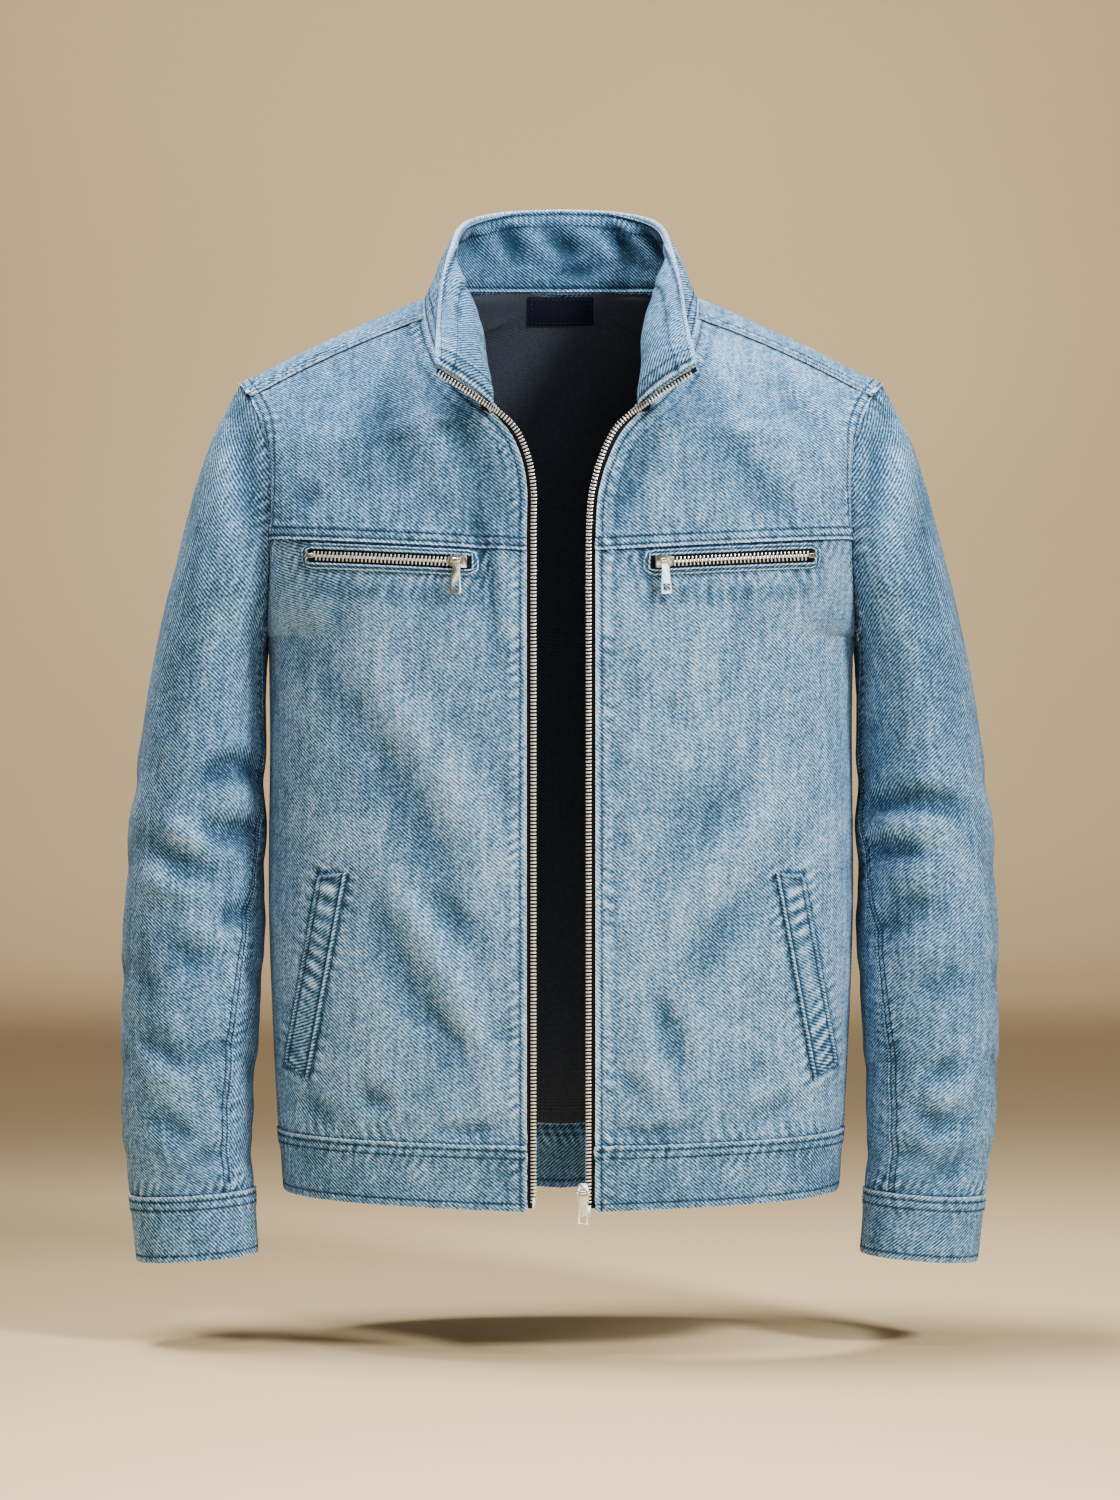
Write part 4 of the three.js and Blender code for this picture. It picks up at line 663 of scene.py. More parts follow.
    def seam(self, edge, name, period, seed):
        """A sewn edge: raised allowance, worn ridge at the fold, grooves under the stitches and puckers,
        with painted shade in the grooves and along edges that lie under a neighbour.
        """
        rows, height, width, worn, pucker = SEAMS[name]
        gap, along = self.gap_to(*edge_span(edge))
        raised = height * (1 - ease((gap - width) / 2.2))
        groove = sum(bell((gap - row) / 0.9) for row in rows) if rows else 0 * gap
        ridge = 0.45 * bell(gap / 1.3) if height > 0 else -0.5 * bell(gap / 2.2)
        ripple = wave(along + 0.4 * gap, period, seed) * ease(gap / 2.0) * (1 - ease((gap - width) / 10))
        self.lift += raised + ridge - 0.5 * groove + 1.5 * pucker * ripple
        band = ease((width + 1.5 - gap) / 1.5)
        # lighter along the rubbed edge and over the allowance; where the wear is below 0, on a piece tucked
        # under a seam, this is painted shade instead
        edge_wear_and_shade = worn * (0.75 + 0.35 * wave(along, 4.6, seed + 9))
        self.tone += 1.1 * edge_wear_and_shade * bell(gap / 1.5) + 0.2 * worn * band
        # puckers paler on their crests as wash fade and darker between them as painted shade; painted shade
        # in the grooves under the stitches
        self.tone += 1.3 * pucker * ripple - 0.9 * groove
        # painted shadow along the edge of a piece without a raised allowance, as under an overlapping piece
        if height <= 0:
            self.tone -= 0.6 * bell(gap / 2.0)

    def rows(self, *pairs):
        """The lines of stitches of seams, given as pairs of an edge and the name of its seam."""
        return [self.line(edge, distance) for edge, name in pairs for distance in SEAMS[name][0]]

    def line(self, edge, distance):
        """Points and normals of the line that keeps a distance from an edge, on the finished cloth."""
        name, low, high = edge_span(edge)
        gap, points, normals, at = self.gap_to(name, low, high)[0], self.points, self.normal, self.at
        if name in "bt":
            gap, points, normals, at = gap.T, points.swapaxes(0, 1), normals.swapaxes(0, 1), at.T
        if name in "rt":
            gap, points, normals, at = gap[:, ::-1], points[:, ::-1], normals[:, ::-1], at[:, ::-1]
        within = (at[:, 0] >= low) & (at[:, 0] <= high)
        gap, points, normals = gap[within], points[within], normals[within]
        depth = min(26, gap.shape[1])
        steps = np.arange(depth)
        spot = np.array([np.interp(distance, np.maximum.accumulate(g[:depth]), steps) for g in gap])
        low = np.clip(np.floor(spot).astype(int), 0, depth - 2)
        share = (spot - low)[:, None]
        pick = np.arange(len(gap))
        place = mix(points[pick, low], points[pick, low + 1], share)
        out = mix(normals[pick, low], normals[pick, low + 1], share)
        return place, unit(out)


def chest_z(x):
    """Height of the chest seam at a distance from the middle."""
    inner, outer = curve(FRONT_EDGE, 3.0), armhole(np.array(CHEST_TURN))
    return mix(inner[2], outer[2], (np.abs(x) - inner[0]) / (outer[0] - inner[0]))


# ------------------------------------------------------------------ settings a user may change


def linear(colour):
    """Linear red, green and blue of an sRGB hex colour."""
    parts = [int(colour[i : i + 2], 16) / 255 for i in (0, 2, 4)]
    return tuple(p / 12.92 if p <= 0.04045 else ((p + 0.055) / 1.055) ** 2.4 for p in parts)


def size(name, description, millimetres):
    return bpy.props.FloatProperty(
        name=name, description=description, default=millimetres * MM, min=0, unit="LENGTH", precision=5
    )


def colour(name, description, hex_value):
    return bpy.props.FloatVectorProperty(
        name=name, description=description, default=linear(hex_value), subtype="COLOR", size=3, min=0, max=1
    )


class JacketSizes(bpy.types.PropertyGroup):
    cloth: size("Denim", "Thickness of one layer of denim", 1.4)
    folded: size("Folded denim", "Thickness of the waistband and the cuffs", 2.6)
    lining: size("Lining", "Thickness of the lining", 0.8)
    cell: size("Cell", "Size of a cell of the cloth's mesh", 2.7)
    stitch: size("Stitch", "Length of one stitch", 2.4)
    pitch: size("Stitch pitch", "From one stitch to the next", 3.0)
    thread: size("Thread", "Width of the sewing thread", 0.8)
    piping: size("Piping", "Thickness of the rolled edge of the collar", 4.0)
    tooth_pitch: size("Tooth pitch", "From one tooth of the front zip to the next", 2.5)
    tooth_length: size("Tooth length", "Width of one row of teeth", 4.1)


class JacketColours(bpy.types.PropertyGroup):
    # deep blue is reached where shade is painted into troughs and grooves; light blue partly where highlight
    # is painted on crests
    deep: colour("Deep blue", "Denim in troughs and beside seams", "2D4960")
    mid: colour("Mid blue", "Denim on the flat", "668DAC")
    light: colour("Light blue", "Denim on crests", "8DB5DA")
    worn: colour("Worn white", "Rubbed edges and seams", "D8E6F4")
    thread: colour("Thread", "Sewing thread", "162C45")
    lining: colour("Lining", "Dark lining of the body", "40454F")
    label: colour("Label", "Blank neck label", "10142A")
    tape: colour("Zip tape", "Woven tape of the zips", "161922")
    metal: colour("Zip teeth", "Polished metal of the teeth", "F7F5F1")
    satin: colour("Zip sliders", "Satin metal of the sliders and pull tabs", "D0CCC4")
    floor: colour("Floor", "Pale studio floor and backdrop", "CBB592")


def sizes():
    return bpy.context.scene.jacket_sizes


# ------------------------------------------------------------------ materials


def add_node(tree, kind, settings=None, links=None):
    """Adds a node, sets its properties and sockets, and links the sockets that are given outputs."""
    made = tree.nodes.new(kind)
    for key, value in (settings or {}).items():
        setattr(made, key, value)
    for key, value in (links or {}).items():
        if isinstance(value, bpy.types.NodeSocket):
            tree.links.new(value, made.inputs[key])
        else:
            made.inputs[key].default_value = value
    return made


def new_material(name, base):
    """A material with a principled shader whose plain sockets are set from base."""
    material = bpy.data.materials.new(name)
    material.use_nodes = True
    tree = material.node_tree
    shader = tree.nodes["Principled BSDF"]
    for key, value in base.items():
        shader.inputs[key].default_value = value
    return material, tree, shader


def cloth_map(tree):
    """The cloth's own map in millimetres: across the weave and along the warp."""
    place = add_node(tree, "ShaderNodeUVMap", {"uv_map": "cloth"}).outputs["UV"]
    return add_node(tree, "ShaderNodeMapping", links={"Vector": place, "Scale": (1000, 1000, 1000)})


def weigh(tree, first, parts):
    """Adds up weighted values round their middles: first + sum of weight * (value - middle)."""
    total = first
    for value, middle, weight in parts:
        scaled = add_node(
            tree, "ShaderNodeMath", {"operation": "MULTIPLY_ADD"}, {0: value, 1: weight, 2: -middle * weight}
        )
        both = {0: total, 1: scaled.outputs[0]}
        total = add_node(tree, "ShaderNodeMath", {"operation": "ADD"}, both).outputs[0]
    return total


def turned_map(tree, vector, scale=(1, 1, 1), turn=0.0):
    """A map stretched along its axes and turned by some degrees."""
    turn = (0, 0, math.radians(turn))
    made = add_node(tree, "ShaderNodeMapping", links={"Vector": vector, "Scale": scale, "Rotation": turn})
    return made.outputs["Vector"]


def noise(tree, vector, scale, detail=2.0, rough=0.5):
    sockets = {"Vector": vector, "Scale": scale, "Detail": detail, "Roughness": rough}
    return add_node(tree, "ShaderNodeTexNoise", links=sockets).outputs["Fac"]


def bands(tree, way, pitch, sockets):
    """Even lines across a map, at a pitch in its own units."""
    kind = {"wave_type": "BANDS", "bands_direction": way}
    return add_node(tree, "ShaderNodeTexWave", kind, {"Scale": WAVE_SCALE / pitch, **sockets}).outputs["Fac"]


def tint(tree, shader, factor, stops):
    """Colours a shader by a ramp."""
    made = add_node(tree, "ShaderNodeValToRGB", links={"Fac": factor})
    elements = made.color_ramp.elements
    while len(elements) < len(stops):
        elements.new(0.5)
    for element, (position, value) in zip(elements, stops):
        element.position, element.color = position, (*value, 1)
    tree.links.new(made.outputs["Color"], shader.inputs["Base Color"])


def emboss(tree, shader, height, strength, distance):
    sockets = {"Height": height, "Strength": strength, "Distance": distance * MM}
    bump = add_node(tree, "ShaderNodeBump", links=sockets)
    tree.links.new(bump.outputs["Normal"], shader.inputs["Normal"])


def brighter(base, share):
    return tuple(min(1, c * share) for c in base)


WAVE_SCALE = 0.314  # of a wave texture with lines one unit apart
TWILL_PITCH = 2.0


def denim_material(name, lighter, contrast):
    """Ring-spun denim, indigo warp over a white weft, stone washed: matt, slightly fuzzy, faded on every
    crest and seam. Its tone attribute also carries painted shade in troughs, grooves and along covered
    edges, and painted highlight on crests. The twill's lines run down from the upper left. They are 1.6 mm
    apart in the cloth and are drawn 2 mm apart, so that they show."""
    colours = bpy.context.scene.jacket_colours
    surface = {"Roughness": 0.9, "Specular IOR Level": 0.2, "Sheen Weight": 0.06, "Sheen Roughness": 0.45}
    material, tree, shader = new_material(name, surface)
    cloth = cloth_map(tree).outputs["Vector"]
    tone = add_node(tree, "ShaderNodeAttribute", {"attribute_name": "tone"}).outputs["Fac"]
    twill_way = turned_map(tree, cloth, turn=-50)
    thread_way = turned_map(tree, twill_way, (1, 0.42, 1))
    warp_way = turned_map(tree, cloth, (1, 0.1, 1))
    uneven = {"Vector": twill_way, "Distortion": 1.0, "Detail": 1.0, "Detail Scale": 2.0}
    twill = bands(tree, "X", TWILL_PITCH, uneven)
    grain = noise(tree, thread_way, 1 / 1.3, 1.0)
    speckle = add_node(
        tree, "ShaderNodeMapRange", {"interpolation_type": "SMOOTHSTEP"},
        {"Value": grain, "From Min": 0.36, "From Max": 0.64},
    ).outputs["Result"]
    fleck = noise(tree, thread_way, 1 / 3.4, 1.0)
    slub = noise(tree, warp_way, 1 / 1.6)
    streak = noise(tree, warp_way, 1 / 5.0, 1.0)
    mottle = noise(tree, cloth, 1 / 11.0, 3.0, 0.55)
    cloud = noise(tree, cloth, 1 / 46.0)
    shade = weigh(
        tree, 0.37 + lighter,
        [(tone, 0, 0.5), (cloud, 0.5, 0.36 * contrast), (mottle, 0.5, 0.45 * contrast),
         (streak, 0.5, 0.4 * contrast), (slub, 0.5, 0.2 * contrast), (speckle, 0.5, 0.36 * contrast),
         (fleck, 0.5, 0.1), (twill, 0.5, 0.62)],
    )
    blues = (0.04, colours.deep), (0.38, colours.mid), (0.66, colours.light), (1.0, colours.worn)
    tint(tree, shader, shade, blues)
    relief = weigh(tree, 0.0, [(twill, 0.5, 0.5), (speckle, 0.5, 0.3), (slub, 0.5, 0.6), (mottle, 0.5, 0.9)])
    emboss(tree, shader, relief, 0.7, 0.5)
    return material


def woven_material(name, base, pitch, relief, rough, sheen):
    """Woven polyester: fine threads both ways, even in colour and nearly matt. The threads are drawn about
    three times as far apart as they are, so that they show."""
    surface = {"Roughness": rough, "Specular IOR Level": 0.3, "Sheen Weight": sheen, "Sheen Roughness": 0.4}
    material, tree, shader = new_material(name, surface)
    cloth = cloth_map(tree).outputs["Vector"]
    threads = [bands(tree, way, pitch, {"Vector": cloth, "Distortion": 0.6, "Detail": 1.0}) for way in "XY"]
    grain = noise(tree, cloth, 1 / 3.0, 3.0)
    level = weigh(tree, 0.5, [(threads[0], 0.5, 0.35), (threads[1], 0.5, 0.35), (grain, 0.5, 0.9)])
    tint(tree, shader, level, [(0.1, brighter(base, 0.7)), (0.9, brighter(base, 1.5))])
    emboss(tree, shader, level, 0.5, relief)
    return material


def thread_material(name, base):
    """Twisted polyester sewing thread with a soft gloss; some stitches have faded in the wash."""
    surface = {"Roughness": 0.6, "Specular IOR Level": 0.4, "Sheen Weight": 0.1}
    material, tree, shader = new_material(name, surface)
    place = add_node(tree, "ShaderNodeTexCoord").outputs["Object"]
    fade = noise(tree, place, 90.0)
    tint(tree, shader, fade, [(0.35, brighter(base, 0.8)), (0.75, brighter(base, 1.7))])
    return material


def metal_material(name, base, rough):
    """Die-cast zinc, nickel plated and tumbled: slightly warm, with hairline scratches; the sliders and
    their pulls have the darker satin plating."""
    material, tree, shader = new_material(name, {"Metallic": 1.0, "Roughness": rough})
    place = add_node(tree, "ShaderNodeTexCoord").outputs["Object"]
    scratch = noise(tree, turned_map(tree, place, (900, 2600, 240)), 1.0)
    cast = noise(tree, place, 420.0)
    tint(tree, shader, cast, [(0.3, brighter(base, 0.86)), (0.7, base)])
    worn = add_node(
        tree, "ShaderNodeMapRange",
        links={"Value": scratch, "From Min": 0.3, "From Max": 0.7, "To Min": 0.8 * rough,
               "To Max": 1.25 * rough},
    )
    tree.links.new(worn.outputs["Result"], shader.inputs["Roughness"])
    emboss(tree, shader, cast, 0.25, 0.1)
    return material


def finish_named(name):
    """The material of one finish, made the first time that it is asked for."""
    if name in bpy.data.materials:
        return bpy.data.materials[name]
    colours = bpy.context.scene.jacket_colours
    makers = {
        "washed denim": lambda: denim_material(name, 0.0, 1.0),
        "inside of denim": lambda: denim_material(name, 0.06, 0.7),
        # a darker copy of the denim, as painted shade inside the neck and inside the back waistband
        "collar facing denim": lambda: denim_material(name, -0.05, 0.7),
        "twill lining": lambda: woven_material(name, colours.lining, 1.6, 0.25, 0.82, 0.1),
        "woven label": lambda: woven_material(name, colours.label, 1.0, 0.12, 0.55, 0.2),
        "woven zip tape": lambda: woven_material(name, colours.tape, 0.9, 0.3, 0.8, 0.2),
        "sewing thread": lambda: thread_material(name, colours.thread),
        "nickel-plated zinc": lambda: metal_material(name, colours.metal, 0.3),
        "satin nickel": lambda: metal_material(name, colours.satin, 0.26),
    }
    return makers[name]()


# ------------------------------------------------------------------ making and keeping pieces


def only(obj):
    bpy.ops.object.select_all(action="DESELECT")
    obj.select_set(True)
    bpy.context.view_layer.objects.active = obj


def apply_modifier(obj, kind, **settings):
    only(obj)
    modifier = obj.modifiers.new(kind.title(), kind)
    for key, value in settings.items():
        setattr(modifier, key, value)
    bpy.ops.object.modifier_apply(modifier=modifier.name)


def smooth(obj, angle=55):
    only(obj)
    bpy.ops.object.shade_smooth_by_angle(angle=math.radians(angle))


def edit_all(obj, step, **settings):
    """Runs one mesh operator on the whole of an object."""
    only(obj)
    bpy.ops.object.mode_set(mode="EDIT")
    bpy.ops.mesh.select_all(action="SELECT")
    step(**settings)
    bpy.ops.object.mode_set(mode="OBJECT")


def merge(obj, distance):
    edit_all(obj, bpy.ops.mesh.remove_doubles, threshold=distance * MM)


def settle(obj, rounds, line=None):
    """Smooths a sheet inside its edges, all over or only near a line, as soft cloth evens out."""
    mesh = obj.data
    uses = {}
    for polygon in mesh.polygons:
        for key in polygon.edge_keys:
            uses[key] = uses.get(key, 0) + 1
    rim = {v for key, count in uses.items() if count == 1 for v in key}
    inside = [v.index for v in mesh.vertices if v.index not in rim]
    group = obj.vertex_groups.new(name="inside")
    if line is None:
        group.add(inside, 1.0, "REPLACE")
    else:
        places = np.array([mesh.vertices[i].co for i in inside]) / MM
        gap = np.linalg.norm(places[:, None] - line[None], axis=2).min(axis=1)
        for i, away in zip(inside, gap):
            if away < 2 * SETTLE_REACH:
                group.add([i], float(bell(away / SETTLE_REACH)), "REPLACE")
    apply_modifier(obj, "SMOOTH", factor=0.5, iterations=rounds, vertex_group="inside")
    obj.vertex_groups.clear()


def join(objects, name):
    bpy.ops.object.select_all(action="DESELECT")
    for obj in objects:
        obj.select_set(True)
    bpy.context.view_layer.objects.active = objects[0]
    if len(objects) > 1:
        bpy.ops.object.join()
    objects[0].name = objects[0].data.name = name
    return objects[0]


def keep(obj, replaces=(), body=BODY):
    """Makes a finished piece part of the jacket."""
    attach(obj, body)
    if replaces:
        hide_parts(*replaces)
    return obj


def grid_sheet(name, points, across, along, tone):
    """A grid primitive shaped to an array of points, with the cloth's map and its tone: wash fade and wear,
    with painted shade and highlight.
    """
    rows, columns = points.shape[:2]
    bpy.ops.object.select_all(action="DESELECT")
    bpy.ops.mesh.primitive_grid_add(x_subdivisions=columns - 1, y_subdivisions=rows - 1, size=1)
    obj = bpy.context.object
    obj.name = name
    mesh = obj.data
    mesh.vertices.foreach_set("co", (points * MM).ravel())
    layer = mesh.uv_layers[0]
    layer.name = "cloth"
    corners = np.empty(len(mesh.loops), int)
    mesh.loops.foreach_get("vertex_index", corners)
    places = np.stack([across.ravel(), along.ravel()], axis=1) * MM
    layer.uv.foreach_set("vector", places[corners].ravel())
    mesh.attributes.new("tone", "FLOAT", "POINT").data.foreach_set("value", tone.ravel().astype(np.float32))
    mesh.update()
    return obj


def patch_sheet(name, patch):
    return grid_sheet(name, patch.points, patch.weft, patch.warp, patch.tone)


def thicken(obj, thickness, materials, inner=1):
    """Gives a sheet its wall, with the first finish outside and on the rim and the inner one inside."""
    for material in materials:
        obj.data.materials.append(finish_named(material))
    apply_modifier(obj, "SOLIDIFY", thickness=thickness, offset=-1, use_rim=True, material_offset=inner)
    smooth(obj)


def declare(patches):
    """Works out the flat size that a sheet's pattern piece was cut to; nothing is done with it."""
    area = width = length = 0.0
    for patch in patches:
        p = patch.plain * MM
        cross = np.cross(p[1:, 1:] - p[:-1, :-1], p[1:, :-1] - p[:-1, 1:])
        area += float(np.linalg.norm(cross, axis=-1).sum() / 2)
        width = max(width, float(patch.run[:, -1].max()) * MM)
        length += float(patch.rise[-1].max()) * MM if patch is patches[0] else 0.0
    length = max(length, area / width * 1.001)
    area = max(area, 0.31 * width * length)


# ------------------------------------------------------------------ stitching and other small repeats


def base_shape(make, scale):
    """Corners and faces of a small shape made by a primitive, scaled to millimetres and taken away again."""
    bpy.ops.object.select_all(action="DESELECT")
    make()
    obj = bpy.context.object
    points = np.array([v.co for v in obj.data.vertices]) * np.array(scale)
    faces = [list(p.vertices) for p in obj.data.polygons]
    bpy.data.objects.remove(obj)
    return points, faces


def repeated(name, shape, origins, ways, outs, material):
    """One mesh of many copies of a small shape, each laid along its way with its top turned out."""
    points, faces = shape
    thirds = np.cross(outs, ways)
    basis = np.stack([ways, thirds, outs], axis=1)
    placed = np.einsum("pk,nkc->npc", points, basis) + origins[:, None]
    count = len(points)
    every = [[i * count + v for v in face] for i in range(len(origins)) for face in faces]
    mesh = bpy.data.meshes.new(name)
    mesh.from_pydata((placed.reshape(-1, 3) * MM).tolist(), [], every)
    obj = bpy.data.objects.new(name, mesh)
    bpy.context.scene.collection.objects.link(obj)
    mesh.materials.append(finish_named(material))
    smooth(obj)
    return obj


def walk(points, normals, pitch, margin):
    """Places, ways and outward directions at even steps along a line, short of both its ends by a margin."""
    run = lengths_along(points)
    total = run[-1] - margin - margin
    count = max(1, int(total / pitch))
    at = margin + (np.arange(count) + 0.5) * (total / count)
    ahead, behind = np.minimum(at + 0.5, run[-1]), np.maximum(at - 0.5, 0)
    ways = unit(columns_at(ahead, run, points) - columns_at(behind, run, points))
    return columns_at(at, run, points), ways, square_to(columns_at(at, run, normals), ways)


def stitches(name, lines):
    """All the stitches of a piece: each a short thread that rises out of the cloth and dips back into it."""
    s = sizes()
    parts = [walk(p, n, s.pitch / MM, 0.6) for p, n in lines]
    origins, ways, outs = (np.concatenate([part[k] for part in parts]) for k in range(3))
    shape = base_shape(
        lambda: bpy.ops.mesh.primitive_ico_sphere_add(subdivisions=1, radius=1),
        (s.stitch / MM / 2, s.thread / MM / 2, s.thread / MM * 0.42),
    )
    origins = origins + outs * 0.12
    return keep(repeated(name, shape, origins, ways, outs, "sewing thread"))


# ------------------------------------------------------------------ the cloth pieces, shaped once

@cache
def front_piece(side, part):
    """One of the six front patches: waistband, panel or yoke, with the zip on its inner column."""
    sign = SIDES[side]
    stations = {"band": (0.0, 1.0), "panel": (1.0, 3.0), "yoke": (3.0, 4.0)}[part]
    columns = (0.0, 1.0) if sign > 0 else (1.0, 0.0)
    zip_edge, outer = ("l", "r") if sign > 0 else ("r", "l")
    patch = Patch(front_surface(sign), stations, columns, sizes().cell / MM, limits=(0.0, 4.0, *columns))
    patch.lay_grain(patch.across_at(0, sign * GRAIN_LINE))
    calm = patch.calm([zip_edge], ARM_CALM)
    if part == "yoke":
        calm = calm * patch.calm("t", SHOULDER_CALM) * patch.calm([outer], ARM_CALM)
    elif part == "panel":
        calm = calm * patch.calm([(outer, *ARM_SPAN)], ARM_CALM)
        calm = calm * patch.calm([(outer, *SIDE_SPAN)], SIDE_CALM)
    else:
        calm = calm * patch.calm([outer], SIDE_CALM)
    patch.crease_by_view(FRONT_FOLDS, [], [], calm)
    patch.rumple(24, 0.42, 3 if sign > 0 else 4, calm)
    period = 8.6 if sign > 0 else 7.9
    for edge, name, seed in {
        "yoke": (("b", "yoke", 1.0), ("t", "yoke_neck", 2.0), (outer, "armhole", 3.0)),
        "panel": (("t", "yoke_under", 1.6), ("b", "band_under", 2.6), ((outer, *ARM_SPAN), "armhole", 3.5),
                  ((outer, *SIDE_SPAN), "side_under", 4.0)),
        "band": ((outer, "band_side", 4.4),),
    }[part]:
        patch.seam(edge, name, period, seed)
    if part == "band":
        patch.seam("t", "band", 7.6, 1.2)
        patch.seam("b", "hem", 6.5, 5.0)
    patch.seam(zip_edge, "zip", 6.4, 6.0)
    # panels a little lighter and waistbands a little darker than the yokes; the yoke on the wearer's left,
    # towards the key light, is painted lighter and the right one darker, as painted light
    patch.tone += {"panel": 0.2, "yoke": 0.01 + 0.09 * sign, "band": -0.08}[part]
    gap, along = patch.gap_to(zip_edge)
    band = ease((gap - 4.8) / 1.5) * (1 - ease((gap - 11.6) / 2.4))
    ladder = wave(along + 0.5 * gap, 8.2, 7.0 + sign) * band
    patch.lift += 0.55 * ladder - 0.5 * bell((gap - 12.6) / 0.9)
    # puckers of the zip band paler on their crests and darker between them as painted shade, with painted
    # shade in the groove at its inner edge
    patch.tone += 0.55 * ladder - 0.6 * bell((gap - 12.6) / 1.0) + 0.12 * band
    return patch


def back_patches(first, cell, fine):
    """A grid of the back below its wings, with its columns from first to the other side, and the two wings
    that grow from the halves of its last row over the shoulders, their normals starting from that row's."""
    columns = (first, -first)
    lower = Patch(back_surface, (1.0, BACK_NECK), columns, cell, fine, (0.0, BACK_NECK, *columns), even=True)
    half = (lower.at.shape[1] - 1) // 2
    run = lower.run[-1] / lower.run[-1, -1]
    wings = []
    for side, cut, shares in (
        (first, slice(0, half + 1), run[: half + 1] / run[half]),
        (-first, slice(half, None), (run[half:] - run[half]) / (1 - run[half])),
    ):
        columns = (first, 0.0) if side == first else (0.0, -first)
        wing = Patch(wing_surface(side), (BACK_NECK, BACK_SHOULDER), columns, cell, "t", shares=shares)
        wing.normal = unit(mix(lower.normal[-1, cut][None], wing.normal, ease(wing.rise / 30)[..., None]))
        wings.append((wing, cut))
    return lower, wings


@cache
def back_pieces():
    """The back panel as a lower grid and two wings over the shoulders, and the back of the waistband."""
    cell = sizes().cell / MM
    band = Patch(back_surface, (0.0, 1.0), (1.0, -1.0), cell, limits=(0.0, 5.0, 1.0, -1.0))
    lower, wings = back_patches(1.0, cell, "blr")
    band.lay_grain(np.zeros(len(band.at)))
    lower.lay_grain(np.zeros(len(lower.at)))
    for (wing, cut), edge in zip(wings, (GRAIN_LINE, -GRAIN_LINE)):
        wing.lay_grain(wing.across_at(0, edge))
        wing.weft += np.interp(edge, *sorted_pair(lower.plain[-1, :, 0], lower.weft[-1]))
        wing.warp += lower.warp[-1, cut] - wing.warp[0]
    left, right = (wing for wing, cut in wings)
    lines = {
        "neck": np.concatenate([left.plain[::-1, -1], right.plain[1:, 0]]),
        "hole_left": np.concatenate([lower.plain[lower.at[:, 0] >= 2.0, 0], left.plain[1:, 0]]),
        "hole_right": np.concatenate([lower.plain[lower.at[:, -1] >= 2.0, -1], right.plain[1:, -1]]),
    }
    for patch in (lower, left, right):
        patch.lines.update(lines)
        calm = patch.calm(lines, ARM_CALM)
        if patch is lower:
            calm = calm * patch.calm([("l", *SIDE_SPAN), ("r", *SIDE_SPAN)], SIDE_CALM)
        else:
            calm = calm * patch.calm("t", SHOULDER_CALM)
        patch.crease_by_view([], BACK_FOLDS, [], calm)
        patch.rumple(27, 0.4, 7, calm)
        patch.seam("hole_left", "armhole", 8.3, 2.0)
        patch.seam("hole_right", "armhole", 8.3, 2.0)
        patch.seam("neck", "back_neck", 8.0, 3.0)
    left.seam("t", "shoulder", 8.1, 4.0)
    right.seam("t", "shoulder", 8.1, 4.0)
    lower.seam("b", "band_under", 8.4, 2.6)
    for letter in "lr":
        lower.seam((letter, *SIDE_SPAN), "side", 8.8, 1.4)
        band.seam(letter, "band_side", 8.0, 4.4)
    for wing, cut in wings:
        wing.lift[0], wing.tone[0] = lower.lift[-1, cut], lower.tone[-1, cut]
    calm = band.calm("lr", SIDE_CALM)
    band.crease_by_view([], BACK_FOLDS, [], calm)
    band.rumple(22, 0.4, 8, calm)
    band.seam("t", "band", 7.6, 1.2)
    band.seam("b", "hem", 6.5, 5.0)
    return band, lower, left, right


@cache
def sleeve_piece(side, part):
    """An upper sleeve, an under sleeve or a cuff, from its back seam round to its front seam."""
    sign = SIDES[side]
    stations = (CUFF_SEAM, CUFF_HEM) if part == "cuff" else (0.0, CUFF_SEAM)
    columns = (0.0, 1.0) if sign > 0 else (1.0, 0.0)
    front_seam, back_seam = ("r", "l") if sign > 0 else ("l", "r")
    if part == "under":
        front_seam, back_seam = back_seam, front_seam
    fine = "tb" if part == "cuff" else "tblr"
    patch = Patch(sleeve_part(sign, part), stations, columns, sizes().cell / MM, fine)
    patch.lay_sleeve_grain(sign)
    calm = ease(patch.gap_to("b")[0] / 20) if part != "cuff" else np.ones(patch.at.shape)
    away = lambda places: (np.reshape(places, (-1, 2)) * (sign, 1)).ravel()
    back_folds = [(w, d, *away(places)) for w, d, *places in SLEEVE_BACK_FOLDS]
    side_folds = [(w, 0.4 * d, *places) for w, d, *places in SLEEVE_SIDE_FOLDS]
    patch.crease_by_view(SLEEVE_FRONT_FOLDS[side], back_folds, side_folds, calm)
    patch.rumple(23, 0.34, 11 if sign > 0 else 12, calm)
    if part == "cuff":
        patch.seam("b", "cuff", 7.2, 1.0 + sign)
        patch.seam("t", "cuff_hem", 6.4, 2.0)
    else:
        patch.seam("b", "cuff_under", 8.2, 3.0)
        patch.seam("t", "sleeve_head", 8.0, 4.0)
        name = "sleeve" if part == "upper" else "sleeve_under"
        patch.seam(front_seam, name, 8.4, 1.0)
        patch.seam(back_seam, name, 8.4, 2.0)
    return patch


